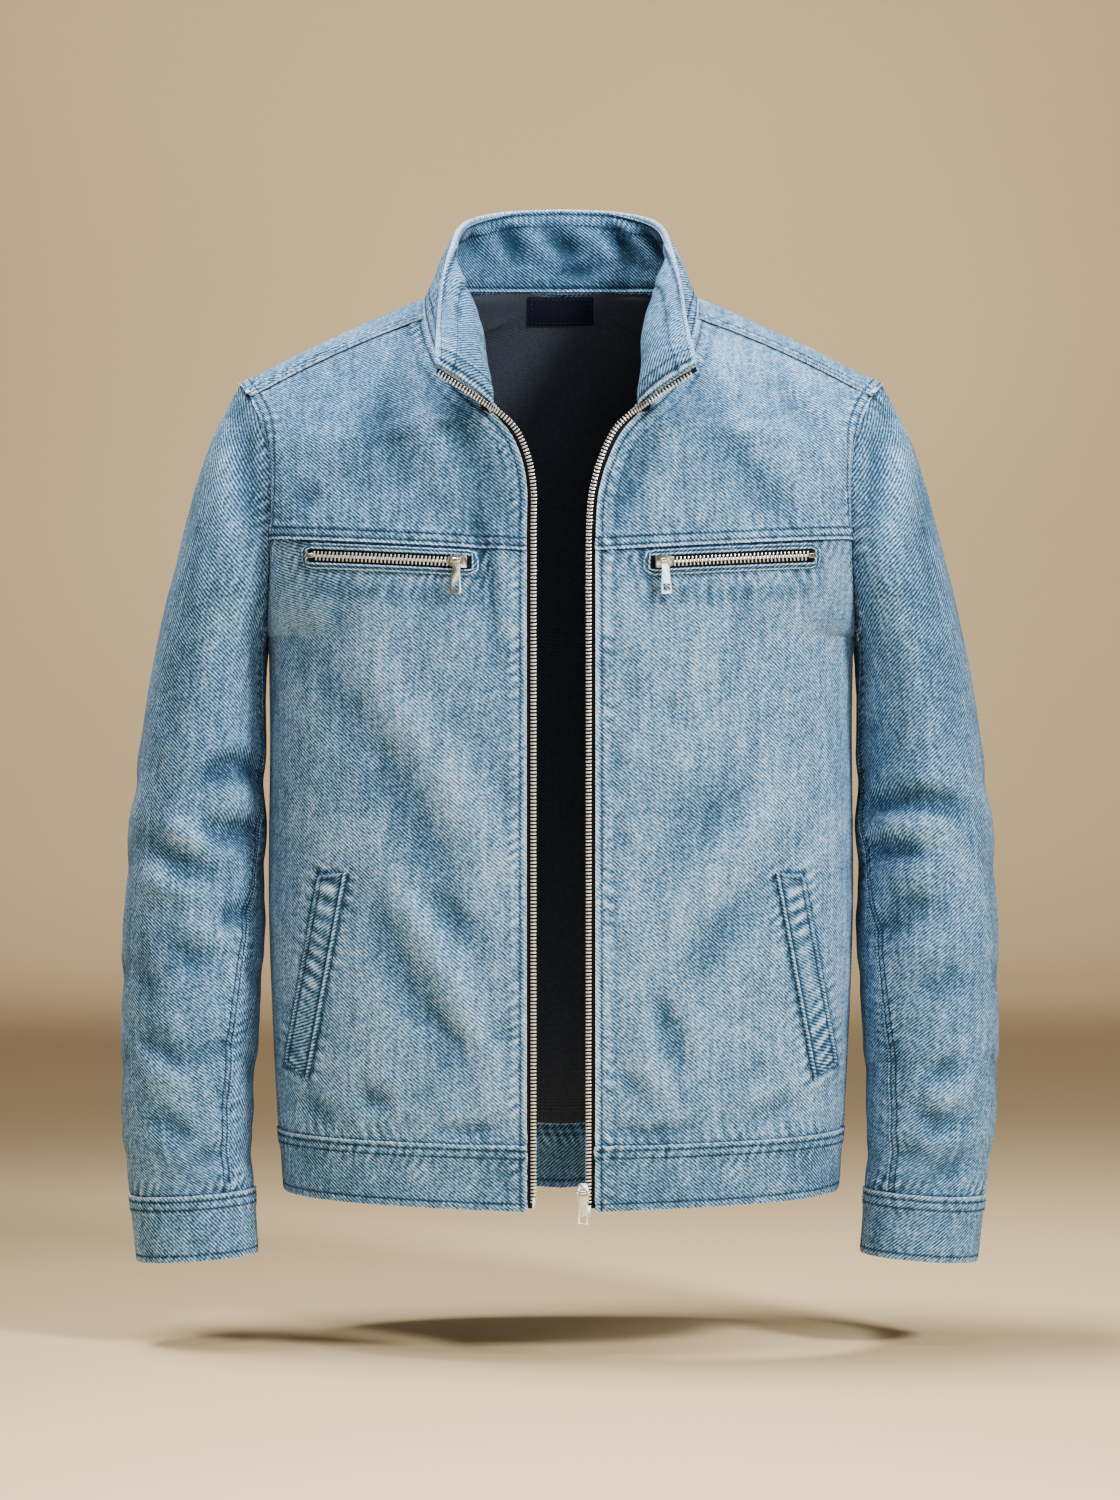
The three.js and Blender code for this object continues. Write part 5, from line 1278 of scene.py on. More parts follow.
@cache
def collar_piece(name):
    """The stand collar or its facing, from one zip round the neck to the other."""
    outside = name == "collar"
    columns = (1.0, -1.0) if outside else (-1.0, 1.0)
    patch = Patch(collar_surface, (0.0, 1.0), columns, sizes().cell / MM * 0.6)
    place = patch.run - patch.run[:, -1:] / 2
    patch.weft = np.broadcast_to(place.mean(axis=0), place.shape)
    fade = patch.calm("bt", 9) * patch.calm("lr", 12)
    if outside:
        patch.crease(folds_at(COLLAR_FOLDS, place, patch.rise) * fade)
        patch.rumple(17, 0.35, 21, fade)
        patch.seam("b", "collar", 8.0, 1.0)
        patch.seam("t", "collar_top", 6.0, 2.0)
        for letter in "lr":
            patch.seam(letter, "collar_end", 6.4, 3.0)
    else:
        patch.lift += 3.9 + 2.6 * fade
        patch.crease(folds_at(FACING_FOLDS, place, patch.rise) * fade)
        patch.rumple(15, 0.4, 22, fade)
        gap, along = patch.gap_to("t")
        behind = bell(place / 105.0)
        ruffle = np.sin(2 * math.pi * along / 4.8 + 1.2 * np.sin(along / 9)) * behind
        ruffle = ruffle * bell((gap - 6.5) / 4.2)
        patch.lift += 0.3 * ruffle
        # painted shade inside the back of the collar: darker towards the centre back, where its troughs are
        # also deepened; the puckers under the top seam lighter and darker
        patch.tone += 0.5 * ruffle + 0.7 * behind * np.minimum(patch.tone, 0) - 0.3 * behind
        patch.seam("t", "facing_top", 7.0, 1.0)
        patch.seam("b", "facing", 6.0, 2.0)
        for letter in "lr":
            patch.seam(letter, "facing_end", 9.4, 3.0)
    return patch


def sewn(name, patch, node, thickness, inside, lines):
    """Finishes one cloth piece: its sheet, its wall and its stitching."""
    obj = patch_sheet(name, patch)
    thicken(obj, thickness, ["washed denim", inside])
    keep(obj, (node,))
    declare([patch])
    if lines:
        stitches(name + "_stitching", lines)
    return obj


def check_mode(context):
    if context.mode != "OBJECT":
        raise RuntimeError("the pieces are made in object mode")


class JACKET_OT_fronts(bpy.types.Operator):
    """Sews the two front panels, the yokes above them and the front waistband"""

    bl_idname = "jacket.fronts"
    bl_label = "Fronts, yokes and front waistband"

    def execute(self, context):
        check_mode(context)
        s = sizes()
        for side, sign in SIDES.items():
            zip_edge, outer = ("l", "r") if sign > 0 else ("r", "l")
            yoke, panel, band = (front_piece(side, part) for part in ("yoke", "panel", "band"))
            rows = yoke.rows(("b", "yoke"), (zip_edge, "zip"), (outer, "armhole"))
            sewn("yoke_" + side, yoke, "front_yoke_" + side, s.cloth, "inside of denim", rows)
            rows = panel.rows((zip_edge, "zip"), ((outer, *ARM_SPAN), "armhole"))
            recess(panel, side)
            sewn("panel_" + side, panel, "front_panel_" + side, s.cloth, "inside of denim", rows)
            rows = band.rows(("t", "band"), ("b", "hem"), (zip_edge, "zip"))
            sewn("band_" + side, band, "waistband_front_" + side, s.folded, "washed denim", rows)
        return FINISHED


class JACKET_OT_back(bpy.types.Operator):
    """Sews the back panel with its two wings over the shoulders, and the back waistband"""

    bl_idname = "jacket.back"
    bl_label = "Back and back waistband"

    def execute(self, context):
        check_mode(context)
        s = sizes()
        band, lower, left, right = back_pieces()
        obj = join([patch_sheet("back", patch) for patch in (lower, left, right)], "back")
        merge(obj, WELD)
        join_row = lower.plain[-1][np.abs(lower.plain[-1, :, 0]) < 170]
        settle(obj, 40, join_row[::2])
        thicken(obj, s.cloth, ["washed denim", "inside of denim"])
        keep(obj, ("back_panel",))
        declare([lower, left, right])
        rows = left.rows(("t", "shoulder"), ("l", "armhole"))
        rows += right.rows(("t", "shoulder"), ("r", "armhole"))
        for letter in "lr":
            rows += lower.rows(((letter, *ARM_SPAN), "armhole"), ((letter, *SIDE_SPAN), "side"))
        stitches("back_stitching", rows)
        rows = band.rows(("t", "band"), ("b", "hem"))
        # the inside of the back waistband takes the darker facing denim as painted shade
        sewn("band_back", band, "waistband_back", s.folded, "collar facing denim", rows)
        return FINISHED


class JACKET_OT_sleeves(bpy.types.Operator):
    """Sews the two-piece sleeves, with the upper sleeve felled over the under sleeve, and their cuffs"""

    bl_idname = "jacket.sleeves"
    bl_label = "Sleeves and cuffs"

    def execute(self, context):
        check_mode(context)
        s = sizes()
        for side in SIDES:
            upper, under, cuff = (sleeve_piece(side, part) for part in ("upper", "under", "cuff"))
            rows = upper.rows(("l", "sleeve"), ("r", "sleeve"))
            sewn("upper_sleeve_" + side, upper, "sleeve_upper_" + side, s.cloth, "inside of denim",
                 rows)
            sewn("under_sleeve_" + side, under, "sleeve_under_" + side, s.cloth, "inside of denim",
                 [])
            obj = patch_sheet("sleeve_cuff_" + side, cuff)
            merge(obj, WELD)
            thicken(obj, s.folded, ["washed denim", "washed denim"])
            keep(obj, ("cuff_" + side,))
            declare([cuff])
            stitches("cuff_stitching_" + side, cuff.rows(("b", "cuff"), ("t", "cuff_hem")))
        return FINISHED


def swept_tube(name, line, radius, material, tone):
    """A tube along a line, closed at both ends."""
    run = lengths_along(line)
    ways = unit(np.gradient(line, axis=0))
    outs = square_to(np.broadcast_to([0.0, 0.0, 1.0], line.shape), ways)
    thirds = np.cross(ways, outs)
    turns = np.linspace(0, 2 * math.pi, TUBE_SIDES + 1)
    shrink = np.ones(len(line))
    shrink[[0, -1]], shrink[[1, -2]] = 0.05, 0.75
    ring = np.cos(turns)[None, :, None] * outs[:, None] + np.sin(turns)[None, :, None] * thirds[:, None]
    points = line[:, None] + ring * (radius * shrink)[:, None, None]
    across, along, worn = np.broadcast_arrays(turns * radius, run[:, None], tone[:, None])
    obj = grid_sheet(name, points, across, along, worn)
    merge(obj, 0.02)
    edit_all(obj, bpy.ops.mesh.normals_make_consistent, inside=False)
    obj.data.materials.append(finish_named(material))
    smooth(obj, 70)
    return obj


class JACKET_OT_collar(bpy.types.Operator):
    """Sews the stand collar, its facing and the rolled edge between them"""

    bl_idname = "jacket.collar"
    bl_label = "Collar, facing and rolled edge"

    def execute(self, context):
        check_mode(context)
        s = sizes()
        outer, facing = collar_piece("collar"), collar_piece("facing")
        rows = outer.rows(("b", "collar"), ("t", "collar_top"), ("l", "collar_end"), ("r", "collar_end"))
        collar = sewn("stand_collar", outer, "collar", s.cloth, "inside of denim", rows)
        obj = patch_sheet("facing", facing)
        # the facing's darker denim is painted shade inside the neck
        thicken(obj, s.cloth, ["collar facing denim", "inside of denim"])
        keep(obj, ("collar_facing",))
        declare([facing])
        rows = facing.rows(("t", "facing_top"), ("b", "facing"), ("l", "facing_end"), ("r", "facing_end"))
        stitches("facing_stitching", rows)
        top = outer.edge("t")
        inward = facing.normal[-1, ::-1]
        line = top[:-1] * 0.5 + top[1:] * 0.5 + 0.5 * (inward[:-1] + inward[1:]) * 1.6
        line[:, 2] += 0.5
        along = lengths_along(line)
        wear = 0.75 + 0.2 * np.sin(2 * math.pi * along / 7.3 + np.sin(along / 11))
        roll = swept_tube("collar_roll", line, s.piping / MM / 2, "washed denim", wear)
        join([collar, roll], "stand_collar")
        return FINISHED


# ------------------------------------------------------------------ pockets

CHEST_POCKET = {
    "inner": 57.0, "outer": 181.5, "below": 11.2, "height": 18.0, "window": 9.4, "end": 5.0, "slider": 71.5
}
CHEST_MIDDLE = (CHEST_POCKET["outer"] + CHEST_POCKET["inner"]) / 2
CHEST_HALF = (CHEST_POCKET["outer"] - CHEST_POCKET["inner"]) / 2
HAND_TOP, HAND_WAY, HAND_WIDTH = (160.0, -413.0), np.array([27.0, -140.0]), 20.0
HAND_LENGTH = float(np.hypot(*HAND_WAY))
HAND_WAY /= HAND_LENGTH
SEATS = {}  # each panel's surface as it was before its pockets


def chest_pocket_line(x):
    """Height of the middle line of a chest pocket."""
    return chest_z(np.asarray(x, float)) - CHEST_POCKET["below"]


def seat(side, x, z):
    """Points and outward directions of a front panel, before its pockets, at places seen from in front."""
    points, normals = SEATS[side]
    x, z = np.asarray(x, float).ravel(), np.asarray(z, float).ravel()
    gap = (points[None, :, 0] - x[:, None]) ** 2 + (points[None, :, 2] - z[:, None]) ** 2
    near = np.argpartition(gap, 8, axis=1)[:, :8]
    weight = 1 / (np.take_along_axis(gap, near, 1) + 0.6) ** 1.5
    weight /= weight.sum(axis=1, keepdims=True)
    p, n = points[near], normals[near]
    rise = (x[:, None] - p[..., 0]) * n[..., 0] + (z[:, None] - p[..., 2]) * n[..., 2]
    depth = p[..., 1] - rise / n[..., 1]
    return np.stack([x, (weight * depth).sum(axis=1), z], axis=1), unit((weight[..., None] * n).sum(axis=1))


def recess(panel, side):
    """Keeps the panel's surface for its pockets, then sinks and puckers it where they are sewn on, with
    painted shade round their feet.
    """
    SEATS[side] = panel.points.reshape(-1, 3).copy(), panel.normal.reshape(-1, 3).copy()
    sign = SIDES[side]
    x, z = sign * panel.plain[..., 0], panel.plain[..., 2]
    off_x = np.abs(x - CHEST_MIDDLE) - CHEST_HALF
    off_z = np.abs(z - chest_pocket_line(x)) - CHEST_POCKET["height"] / 2
    outside = np.hypot(np.maximum(off_x, 0), np.maximum(off_z, 0)) + np.minimum(np.maximum(off_x, off_z), 0)
    facing = ease(-panel.normal[..., 1] * 3 - 0.5)
    ring = ease(outside / 1.5) * (1 - ease((outside - 5) / 9)) * facing
    ladder = wave(x + 0.3 * z, 7.0, 3.0 + sign) * ring
    panel.lift += 0.4 * ladder
    # puckers round the chest pocket frame, and painted shade in a dark line round its foot
    panel.tone += 0.5 * ladder - 0.7 * bell((outside - 0.6) / 1.4) * facing
    below = bell((z - chest_pocket_line(x) + 24) / 6.0) * ease((6 - off_x) / 10) * facing
    panel.tone -= 0.5 * below * (0.6 + 0.6 * wave(x, 9.0, 5.0))
    panel.lift += 0.4 * below * wave(x, 9.0, 5.0)
    off = np.stack([x - HAND_TOP[0], z - HAND_TOP[1]], axis=-1)
    along, across = off @ HAND_WAY, off @ (-HAND_WAY[1], HAND_WAY[0])
    outside = np.maximum(np.abs(across) - HAND_WIDTH / 2, np.abs(along - HAND_LENGTH / 2) - HAND_LENGTH / 2)
    ring = ease(outside / 1.2) * (1 - ease((outside - 3) / 10)) * facing
    ladder = wave(along + 0.4 * across, 8.5, 2.0 + sign) * ring
    panel.lift += 0.7 * ladder - 0.6 * bell(outside / 1.6) * facing
    # puckers round the hand pocket welt, and painted shade in a dark line round its foot
    panel.tone += 0.55 * ladder - 1.3 * bell((outside - 0.6) / 1.3) * facing


FRAME_PROFILE = [  # way out from the window, height over the panel, tone: lighter on the rubbed crests, painted shade in the grooves and down into the window
    (-0.5, 0.2, -1.0), (0.0, 1.5, -0.9), (0.25, 2.2, 0.3), (0.8, 2.5, 0.9), (1.4, 2.4, 0.4),
    (1.9, 1.4, -1.0), (2.4, 1.8, 0.1), (2.9, 1.5, -0.8), (3.4, 1.7, 0.4), (4.0, 1.5, 1.0), (4.3, 1.0, 1.0),
    (4.5, -0.4, 0.0),
]


def rounded_loop(half_width, half_height, corner, cell):
    """Places, outward ways and run of a rounded rectangle's outline, anticlockwise from the right."""
    corner = min(corner, half_width, half_height)
    places = []
    for k, (sx, sy) in enumerate(((1, 1), (-1, 1), (-1, -1), (1, -1))):
        for turn in np.linspace(0, 90, 7):
            a = math.radians(turn + 90 * k)
            places.append((sx * (half_width - corner) + corner * math.cos(a),
                           sy * (half_height - corner) + corner * math.sin(a), math.cos(a), math.sin(a)))
    places = np.array(places + places[:1])
    run = lengths_along(places[:, :2])
    at = np.linspace(0, run[-1], max(24, int(run[-1] / cell)) + 1)
    return columns_at(at, run, places), at


class JACKET_OT_chest_pockets(bpy.types.Operator):
    """Sews the two zipped chest pockets: a double-stitched frame round a window with a zip in it"""

    bl_idname = "jacket.chest_pockets"
    bl_label = "Zipped chest pockets"

    def execute(self, context):
        check_mode(context)
        pocket = CHEST_POCKET
        out, height, tones = np.array(FRAME_PROFILE).T
        for side, sign in SIDES.items():
            loop, run = rounded_loop(CHEST_HALF - pocket["end"], pocket["window"] / 2, 0.5, 2.2)
            reach = np.where(np.abs(loop[:, 2]) > 0.7, pocket["end"] / 4.5, 0.96)[:, None]
            x = CHEST_MIDDLE + loop[:, None, 0] + out * reach * loop[:, None, 2]
            z = chest_pocket_line(x) + (loop[:, None, 1] + out * 0.96 * loop[:, None, 3])
            points, outs = seat(side, sign * x, z)
            shape = x.shape
            ripple = 0.12 * wave(run, 7.2, 2.0 + sign)[:, None] * bell((out - 2.8) / 1.4)
            points = (points + outs * (height + ripple).reshape(-1, 1)).reshape(*shape, 3)
            outs = outs.reshape(*shape, 3)
            rows = [(points[:, 7] + outs[:, 7] * 0.1, outs[:, 7])]
            across, along = np.broadcast_arrays(run[:, None], out)
            # the frame's puckers paler on their crests and, as painted shade, darker between them
            grid = [a.swapaxes(0, 1) for a in (points, across, along, tones + 1.6 * ripple)]
            if sign > 0:
                grid = [a[::-1] for a in grid]
            obj = grid_sheet("chest_frame_" + side, *grid)
            merge(obj, WELD)
            thicken(obj, 0.9 * MM, ["washed denim", "inside of denim"])
            keep(obj, ("chest_welt_" + side,))
            stitches("chest_frame_stitching_" + side, rows)
            self.zip_in_window(side, sign)
        return FINISHED

    def zip_in_window(self, side, sign):
        """The tape in the window with its two rows of interlocked teeth."""
        pocket = CHEST_POCKET
        inner, outer = pocket["inner"] + 2.5, pocket["outer"] - 2.5
        v, x = np.meshgrid(np.linspace(-6.2, 6.2, 9), np.linspace(inner, outer, 46), indexing="ij")
        points, outs = seat(side, sign * x, chest_pocket_line(x) + v)
        lift = 0.9 + 0.4 * bell(v.reshape(-1) / 2.0)
        points = (points + outs * lift[:, None]).reshape(*x.shape, 3)
        grid = [points, x, v, 0 * x]
        if sign < 0:
            grid = [a[:, ::-1] for a in grid]
        tape = grid_sheet("chest_tape_" + side, *grid)
        thicken(tape, 0.8 * MM, ["woven zip tape"], inner=0)
        keep(tape, ("chest_zip_tape_" + side,))
        pitch, first, last = 2.7, pocket["slider"] + 2, pocket["outer"] - 7.5
        steps = np.arange(int((last - first) / pitch))
        x = first + pitch * np.concatenate([steps + 0.5, steps])
        v = np.repeat([1.15, -1.15], len(steps))
        slope = (chest_pocket_line(CHEST_MIDDLE + 1) - chest_pocket_line(CHEST_MIDDLE - 1)) / 2
        points, outs = seat(side, sign * x, chest_pocket_line(x) + v)
        ways = square_to(np.tile([sign * 1.0, 0.0, float(slope)], (len(points), 1)), outs)
        block = bevelled_block(1.2, 4.2, 1.2)
        points += outs * 1.35
        teeth = repeated("chest_teeth_" + side, block, points, ways, outs, "nickel-plated zinc")
        keep(teeth)


def bevelled_block(length, width, height):
    """Corners and faces of a small block with rounded edges."""

    def make():
        bpy.ops.mesh.primitive_cube_add(size=1, scale=(length, width, height))
        bpy.ops.object.transform_apply(location=False, rotation=False, scale=True)
        edge = BLOCK_BEVEL * min(length, width, height)
        edit_all(bpy.context.object, bpy.ops.mesh.bevel, offset=edge, segments=1)

    return base_shape(make, 1.0)


class JACKET_OT_hand_pockets(bpy.types.Operator):
    """Sews the two slanted hand pockets with their raised welts"""

    bl_idname = "jacket.hand_pockets"
    bl_label = "Welted hand pockets"

    def execute(self, context):
        check_mode(context)
        length, half = HAND_LENGTH, HAND_WIDTH / 2
        # way out from the zip side, height over the panel, tone: lighter on the rubbed crests, painted shade
        # in the grooves and at the welt's foot
        across, height, tones = np.transpose([
            (-half - 0.2, -1.0, -1.4), (-half, 0.7, -0.5), (-half + 0.8, 1.8, 0.5), (-half + 1.8, 1.8, 0.35),
            (-half + 2.5, 0.9, -1.3), (-half + 3.2, 1.1, -0.9), (-half + 4.4, 1.6, 0.0),
            (-half + 7, 1.7, 0.1), (-half + 10, 1.7, 0.1), (half - 7, 1.7, 0.1), (half - 4.6, 1.7, 0.0),
            (half - 3.4, 1.15, -1.1),
            (half - 2.4, 1.5, -0.1), (half - 1.0, 1.5, 0.4), (half - 0.2, 1.1, -0.2), (half, -0.6, -1.2),
        ])
        for side, sign in SIDES.items():
            along = np.concatenate([[-0.2], spaced(length, 52, True, True)[0], [length + 0.2]])
            a, b = np.meshgrid(along, across, indexing="ij")
            down = a + 4.0 * (b / half) * (1 - 2 * a / length)  # the ends are cut upright
            x = HAND_TOP[0] + down * HAND_WAY[0] - b * HAND_WAY[1]
            z = HAND_TOP[1] + down * HAND_WAY[1] + b * HAND_WAY[0]
            points, outs = seat(side, sign * x, z)
            end = np.minimum(along, length - along)
            over = ease((end + 0.3) / 1.3)[:, None]
            ripple = wave(a + 0.5 * b, 10.5, 2.0 + sign) * bell((b - 0.5) / 6.5) * ease(end / 6)[:, None]
            groove = bell((end[:, None] - 3.0) / 0.9) * bell(b / 9)
            lift = mix(-0.8, height, over) + 0.8 * ripple - 0.5 * groove
            # puckers paler on their crests and darker between them as painted shade, painted shade in the
            # groove across each end, the very ends lighter as wear
            tone = tones + 1.1 * ripple - 1.0 * groove + 0.2 * bell(end[:, None] / 1.3)
            points = (points + outs * lift.reshape(-1, 1)).reshape(*a.shape, 3)
            outs = outs.reshape(points.shape)
            grid = [g[::-1] for g in (points, b - across[0], length - a, tone)]
            if sign < 0:
                grid = [g[:, ::-1] for g in grid]
            obj = grid_sheet("hand_pocket_" + side, *grid)
            thicken(obj, 1.1 * MM, ["washed denim", "inside of denim"])
            keep(obj, ("hand_pocket_welt_" + side,))
            rows = [(points[4:-4, 4] + outs[4:-4, 4] * 0.1, outs[4:-4, 4])]
            rows += [(points[4:-4, 11], outs[4:-4, 11])]
            top = np.abs(end[: len(end) // 2] - 3.0).argmin()
            rows += [(points[k, 4:12], outs[k, 4:12]) for k in (top, len(end) - 1 - top)]
            stitches("hand_pocket_stitching_" + side, rows)
        return FINISHED


# ------------------------------------------------------------------ lining, label and zips


class JACKET_OT_lining(bpy.types.Operator):
    """Hangs the dark lining inside the back, and sews the blank label below the neck"""

    bl_idname = "jacket.lining"
    bl_label = "Lining and blank label"

    def execute(self, context):
        check_mode(context)
        s = sizes()
        offset = s.cloth / MM + 0.9
        lower, wings = back_patches(-1.0, LINING_CELL, "tb")
        patches = [lower] + [wing for wing, cut in wings]
        folds = [(w * 1.25, 1.15 * abs(d), *places) for w, d, *places in BACK_FOLDS]
        for patch in patches:
            calm = patch.calm("blr", SHOULDER_CALM) if patch is lower else ease((4.9 - patch.at) / 0.9)
            slack = 0.9 + np.abs(folds_at(folds, patch.plain[..., 0], patch.plain[..., 2]))
            patch.lift += offset + slack * calm
        for wing, cut in wings:
            wing.lift[0] = lower.lift[-1, cut]
        obj = join([patch_sheet("lining", patch) for patch in patches], "lining")
        merge(obj, WELD)
        settle(obj, 150)
        thicken(obj, s.lining, ["twill lining"], inner=0)
        keep(obj, ("back_lining",))
        declare(patches)
        self.label(obj)
        return FINISHED

    def label(self, lining):
        """A blank woven label, laid on the lining and sewn on all round."""
        width, height, below = 48.0, 20.0, 3.0
        top = BACK_CENTRE[7][3] - below
        x, z = np.meshgrid(np.linspace(-width / 2, width / 2, 25), np.linspace(top - height, top, 13))
        swell = 0.3 * np.sin(x / 9.0) * np.sin((z - top) / 8.0)
        bpy.context.view_layer.update()
        hits = [lining.ray_cast((u * MM, 0.0, v * MM), (0, 1, 0)) for u, v in zip(x.ravel(), z.ravel())]
        bends = np.stack([x**0, x**2, z, z**2], axis=-1).reshape(-1, 4)
        found = np.array([hit[0] for hit in hits])
        depth = np.array([hit[1][1] for hit in hits]) / MM
        depth = bends @ np.linalg.lstsq(bends[found], depth[found], rcond=None)[0]
        depth = depth.reshape(x.shape)
        normal = np.array([0.0, -1.0, 0.0])
        points = np.stack([x, depth - 1.3 - swell, z], axis=-1)
        obj = grid_sheet("blank_label", points, x + width / 2, z - top + height, 0 * x)
        thicken(obj, 0.8 * MM, ["woven label"], inner=0)
        keep(obj, ("neck_label",))
        rows = [points[:, 1], points[:, -2], points[-2, :], points[1, :]]
        outs = [np.tile(normal, (len(r), 1)) for r in rows]
        stitches("label_stitching", list(zip(rows, outs)))


def zip_path(sign, pitch, start, end):
    """Edge points, teeth points, ways and outward directions of one side of the front zip, at even steps."""
    at = np.linspace(start, end, 900)
    neck = at < NECK
    low = mirrored(front_plain(np.minimum(at, NECK), 0 * at), sign) + neck_sway(np.minimum(at, NECK), 0 * at)
    high = collar_surface(np.clip(at - NECK, 0, 1), np.full(at.shape, float(sign)))
    edge = np.where(neck[:, None], low, high)
    turned = ease((at - 3.3) / 0.25)
    teeth = edge + mirrored(curve(TEETH_OFFSET, at), sign) * (1 - 0.35 * turned)[:, None]
    run = lengths_along(teeth)
    even = np.arange(0.5 * pitch, run[-1], pitch)
    edge, teeth = columns_at(even, run, edge), columns_at(even, run, teeth)
    for _ in range(3):
        edge[1:-1] = (edge[:-2] + edge[1:-1] * 2 + edge[2:]) / 4
        teeth[1:-1] = (teeth[:-2] + teeth[1:-1] * 2 + teeth[2:]) / 4
    ways = unit(np.gradient(teeth, axis=0))
    across = square_to(teeth - edge, ways)
    shown = np.array([0.0, -1.0, 0.0]) + ways[:, 1:2] * ways
    outs = unit(mix(np.cross(ways, across) * sign, shown, np.interp(even, run, turned)[:, None]))
    return edge, teeth, ways, across, outs


class JACKET_OT_front_zip(bpy.types.Operator):
    """Sews the two halves of the front zip, open from the collar's top to the hem"""

    bl_idname = "jacket.front_zip"
    bl_label = "Front zip"

    def execute(self, context):
        check_mode(context)
        s = sizes()
        for side, sign in SIDES.items():
            edge, teeth, ways, across, outs = zip_path(sign, 3.0, 0.02, 4.5)
            reach = np.linalg.norm(teeth - edge, axis=1)
            shares = np.array([-7.0, -4.5, -2.5, -1.0, 0.0, 0.35, 0.7, 1.0])
            rows = []
            for share in shares:
                if share <= 0:
                    point = edge + across * (share - 0.2) - outs * 1.9
                else:
                    point = edge + across * (reach * share)[:, None] - outs * (1.9 - 0.9 * share)
                rows.append(point)
            grid = np.stack(rows, axis=1)
            u = np.broadcast_to(np.where(shares <= 0, shares, shares * 5)[None], grid.shape[:2])
            v = np.broadcast_to(lengths_along(teeth)[:, None], grid.shape[:2])
            pieces = [grid, u, v, 0 * u]
            if sign > 0:
                pieces = [g[:, ::-1] for g in pieces]
            tape = grid_sheet("front_tape_" + side, *pieces)
            thicken(tape, 0.7 * MM, ["woven zip tape"], inner=0)
            keep(tape, ("zip_tape_" + side,))
            edge, teeth, ways, across, outs = zip_path(sign, s.tooth_pitch / MM, 0.14, 4.47)
            block = bevelled_block(1.25, s.tooth_length / MM, 1.2)
            teeth = teeth + outs * 0.1
            chain = repeated("zip_teeth_" + side, block, teeth, ways, outs, "nickel-plated zinc")
            keep(chain, ("zip_chain_" + side,))
        return FINISHED


class JACKET_OT_metal(bpy.types.Operator):
    """Rounds and polishes the sliders, the pull tabs and the ends of the zips"""

    bl_idname = "jacket.metal"
    bl_label = "Sliders, pull tabs and zip ends"

    def execute(self, context):
        check_mode(context)
        still = ("chest_stop_left", "chest_stop_right", "zip_box", "zip_pin")
        for node in (*(name + "_slider" for name in ZIPS), *(name + "_pull" for name in ZIPS), *still):
            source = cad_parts[node]
            obj = source.copy()
            obj.data = source.data.copy()
            obj.hide_render = False
            bpy.context.scene.collection.objects.link(obj)
            obj.name = obj.data.name = node + "_polished"
            obj.data.materials.clear()
            obj.data.materials.append(finish_named("satin nickel"))
            merge(obj, 0.01)
            edit_all(obj, bpy.ops.mesh.dissolve_limited, angle_limit=math.radians(3))
            sharp = {"limit_method": "ANGLE", "angle_limit": math.radians(28)}
            apply_modifier(obj, "BEVEL", width=0.32 * MM, segments=3, **sharp)
            smooth(obj, 40)
            keep(obj, (node,), node if node.endswith("_pull") else BODY)
        return FINISHED


# ------------------------------------------------------------------ the studio
# In metres.

FLOOR_RADIUS, FLOOR_BEND = 4.6, 1.8
CAMERA_PLACE, LENS, SENSOR = (-0.0007, -2.8, -0.326), 92.7, 36  # the lens and the sensor in millimetres
WORLD_COLOUR, WORLD_STRENGTH = (0.94, 0.97, 1.0, 1), 0.24
LIGHTS = (  # name, place, the place that it is aimed at, width, watts, spread in degrees, colour
    ("key", (2.0, -1.9, 1.8), (0, 0, -0.3), 0.7, 114, 180, (1, 1, 1)),
    ("fill", (-2.4, -2.6, 0.9), (0, 0, -0.35), 1.4, 8, 180, (0.86, 0.94, 1.0)),
    ("front", (0.2, -3.9, -0.25), (0, 0, -0.35), 1.5, 14, 180, (0.8, 0.92, 1.0)),
    ("low", (0.3, -2.0, -0.72), (0, 0, -0.45), 0.9, 7, 150, (0.72, 0.86, 1.0)),
    ("top", (-0.7, 0.1, 2.5), (0, 0, -0.3), 1.0, 10, 50, (1, 1, 1)),
    ("backdrop", (0.0, 2.6, 2.3), (0, 6.4, 0.5), 2.0, 50, 110, (1, 1, 1)),
    ("floor_wash", (0.0, -1.15, 1.9), (0, -1.15, -0.8), 0.8, 9, 46, (1, 1, 1)),
)


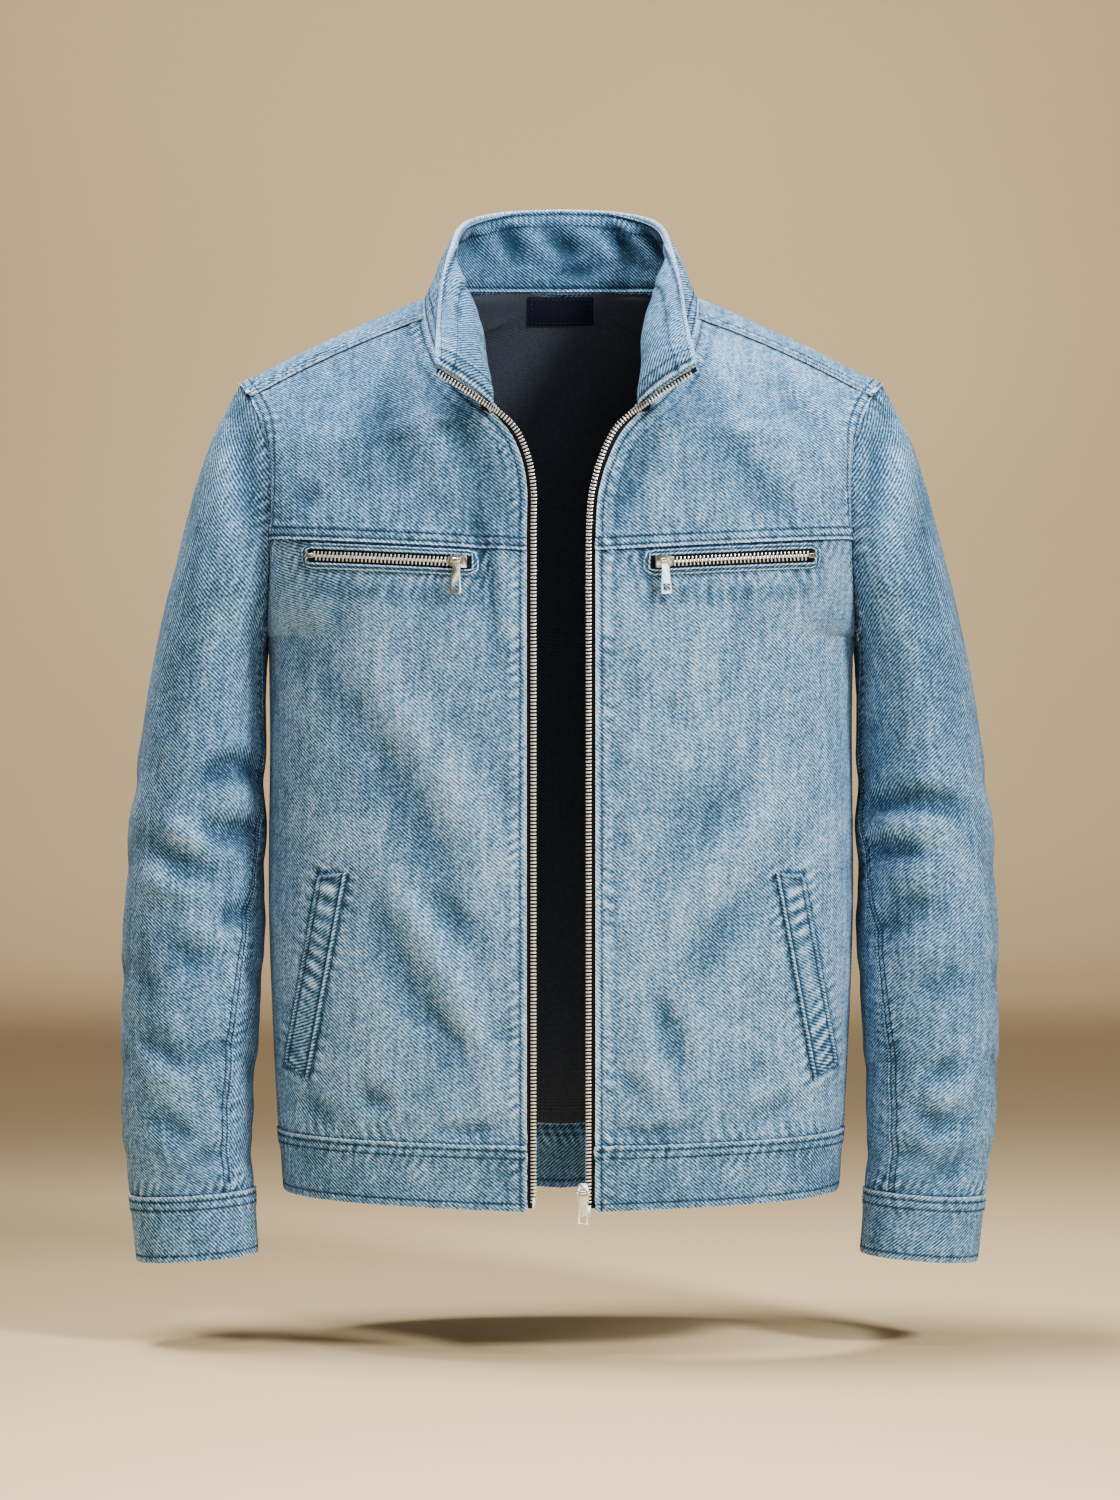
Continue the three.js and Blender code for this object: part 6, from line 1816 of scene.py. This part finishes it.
class JACKET_OT_stage(bpy.types.Operator):
    """Sets the pale floor, the soft lights and the camera"""

    bl_idname = "jacket.stage"
    bl_label = "Stage, lights and camera"

    def execute(self, context):
        check_mode(context)
        colours = context.scene.jacket_colours
        bend = np.linspace(0.05, math.pi / 2, 16)
        far, corner = FLOOR_RADIUS, FLOOR_BEND
        flat, wall = np.linspace(0.001, far, 24), np.linspace(0.3, 2.6, 6)
        radii = np.concatenate([flat, far + corner * np.sin(bend), far + corner + 0 * wall])
        heights = np.concatenate([0 * flat, corner * (1 - np.cos(bend)), corner + wall])
        turns = np.linspace(0, 2 * math.pi, 73)
        points = np.outer(radii, np.cos(turns)), np.outer(radii, np.sin(turns)), np.outer(heights, turns**0)
        points = np.stack(points, axis=-1) / MM
        points[..., 2] += CAD_BOX[0][2] / MM - 60
        floor = grid_sheet("studio_floor", points, points[..., 0], points[..., 1], 0 * points[..., 0])
        surface = {"Roughness": 0.9, "Specular IOR Level": 0.2}
        material, tree, shader = new_material("seamless paper", surface)
        place = add_node(tree, "ShaderNodeTexCoord").outputs["Object"]
        shades = (0.3, brighter(colours.floor, 0.95)), (0.7, brighter(colours.floor, 1.03))
        tint(tree, shader, noise(tree, place, 0.8, 1.0), shades)
        floor.data.materials.append(material)
        smooth(floor, 60)
        floor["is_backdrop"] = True
        for row in LIGHTS:
            self.light(*row)
        world = bpy.data.worlds.new("studio")
        world.use_nodes = True
        background = world.node_tree.nodes["Background"].inputs
        background["Color"].default_value = WORLD_COLOUR
        background["Strength"].default_value = WORLD_STRENGTH
        context.scene.world = world
        context.scene.view_settings.view_transform = "AgX"
        context.scene.view_settings.look = "AgX - Medium High Contrast"
        bpy.ops.object.select_all(action="DESELECT")
        bpy.ops.object.camera_add(location=CAMERA_PLACE, rotation=(math.pi / 2, 0, 0))
        camera = context.object
        camera.name = "camera"
        camera.data.lens, camera.data.sensor_width = LENS, SENSOR
        context.scene.camera = camera
        return FINISHED

    def light(self, name, place, aim, width, watts, spread, colour):
        lamp = bpy.data.lights.new(name, "AREA")
        lamp.shape, lamp.size, lamp.energy = "DISK", width, watts
        lamp.spread, lamp.color = math.radians(spread), colour
        obj = bpy.data.objects.new(name, lamp)
        bpy.context.scene.collection.objects.link(obj)
        obj.location = place
        obj.rotation_euler = (Vector(aim) - Vector(place)).to_track_quat("-Z", "Y").to_euler()


class JACKET_PT_panel(bpy.types.Panel):
    """Lists the pieces of the jacket in the order that they are sewn"""

    bl_idname = "JACKET_PT_panel"
    bl_label = "Denim zip jacket"
    bl_space_type = "VIEW_3D"
    bl_region_type = "UI"
    bl_category = "Jacket"

    def draw(self, context):
        for group in (context.scene.jacket_sizes, context.scene.jacket_colours):
            box = self.layout.box()
            for name in group.__annotations__:
                box.prop(group, name)
        for step in STEPS:
            self.layout.operator(step.bl_idname)


STEPS = (
    JACKET_OT_fronts, JACKET_OT_back, JACKET_OT_sleeves, JACKET_OT_collar, JACKET_OT_chest_pockets,
    JACKET_OT_hand_pockets, JACKET_OT_lining, JACKET_OT_front_zip, JACKET_OT_metal, JACKET_OT_stage,
)
CLASSES = (JacketSizes, JacketColours, *STEPS, JACKET_PT_panel)


def register():
    for cls in CLASSES:
        bpy.utils.register_class(cls)
    bpy.types.Scene.jacket_sizes = bpy.props.PointerProperty(type=JacketSizes)
    bpy.types.Scene.jacket_colours = bpy.props.PointerProperty(type=JacketColours)


def unregister():
    del bpy.types.Scene.jacket_colours
    del bpy.types.Scene.jacket_sizes
    for cls in reversed(CLASSES):
        bpy.utils.unregister_class(cls)


def main():
    register()
    for step in STEPS:
        group, name = step.bl_idname.split(".")
        if getattr(getattr(bpy.ops, group), name)() != FINISHED:
            raise RuntimeError(step.bl_label + " could not be made")
    plain = lambda box: [[float(value) for value in corner] for corner in box]
    {"cad": plain(CAD_BOX), "visual": plain(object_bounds())}


if __name__ == "__main__":
    main()
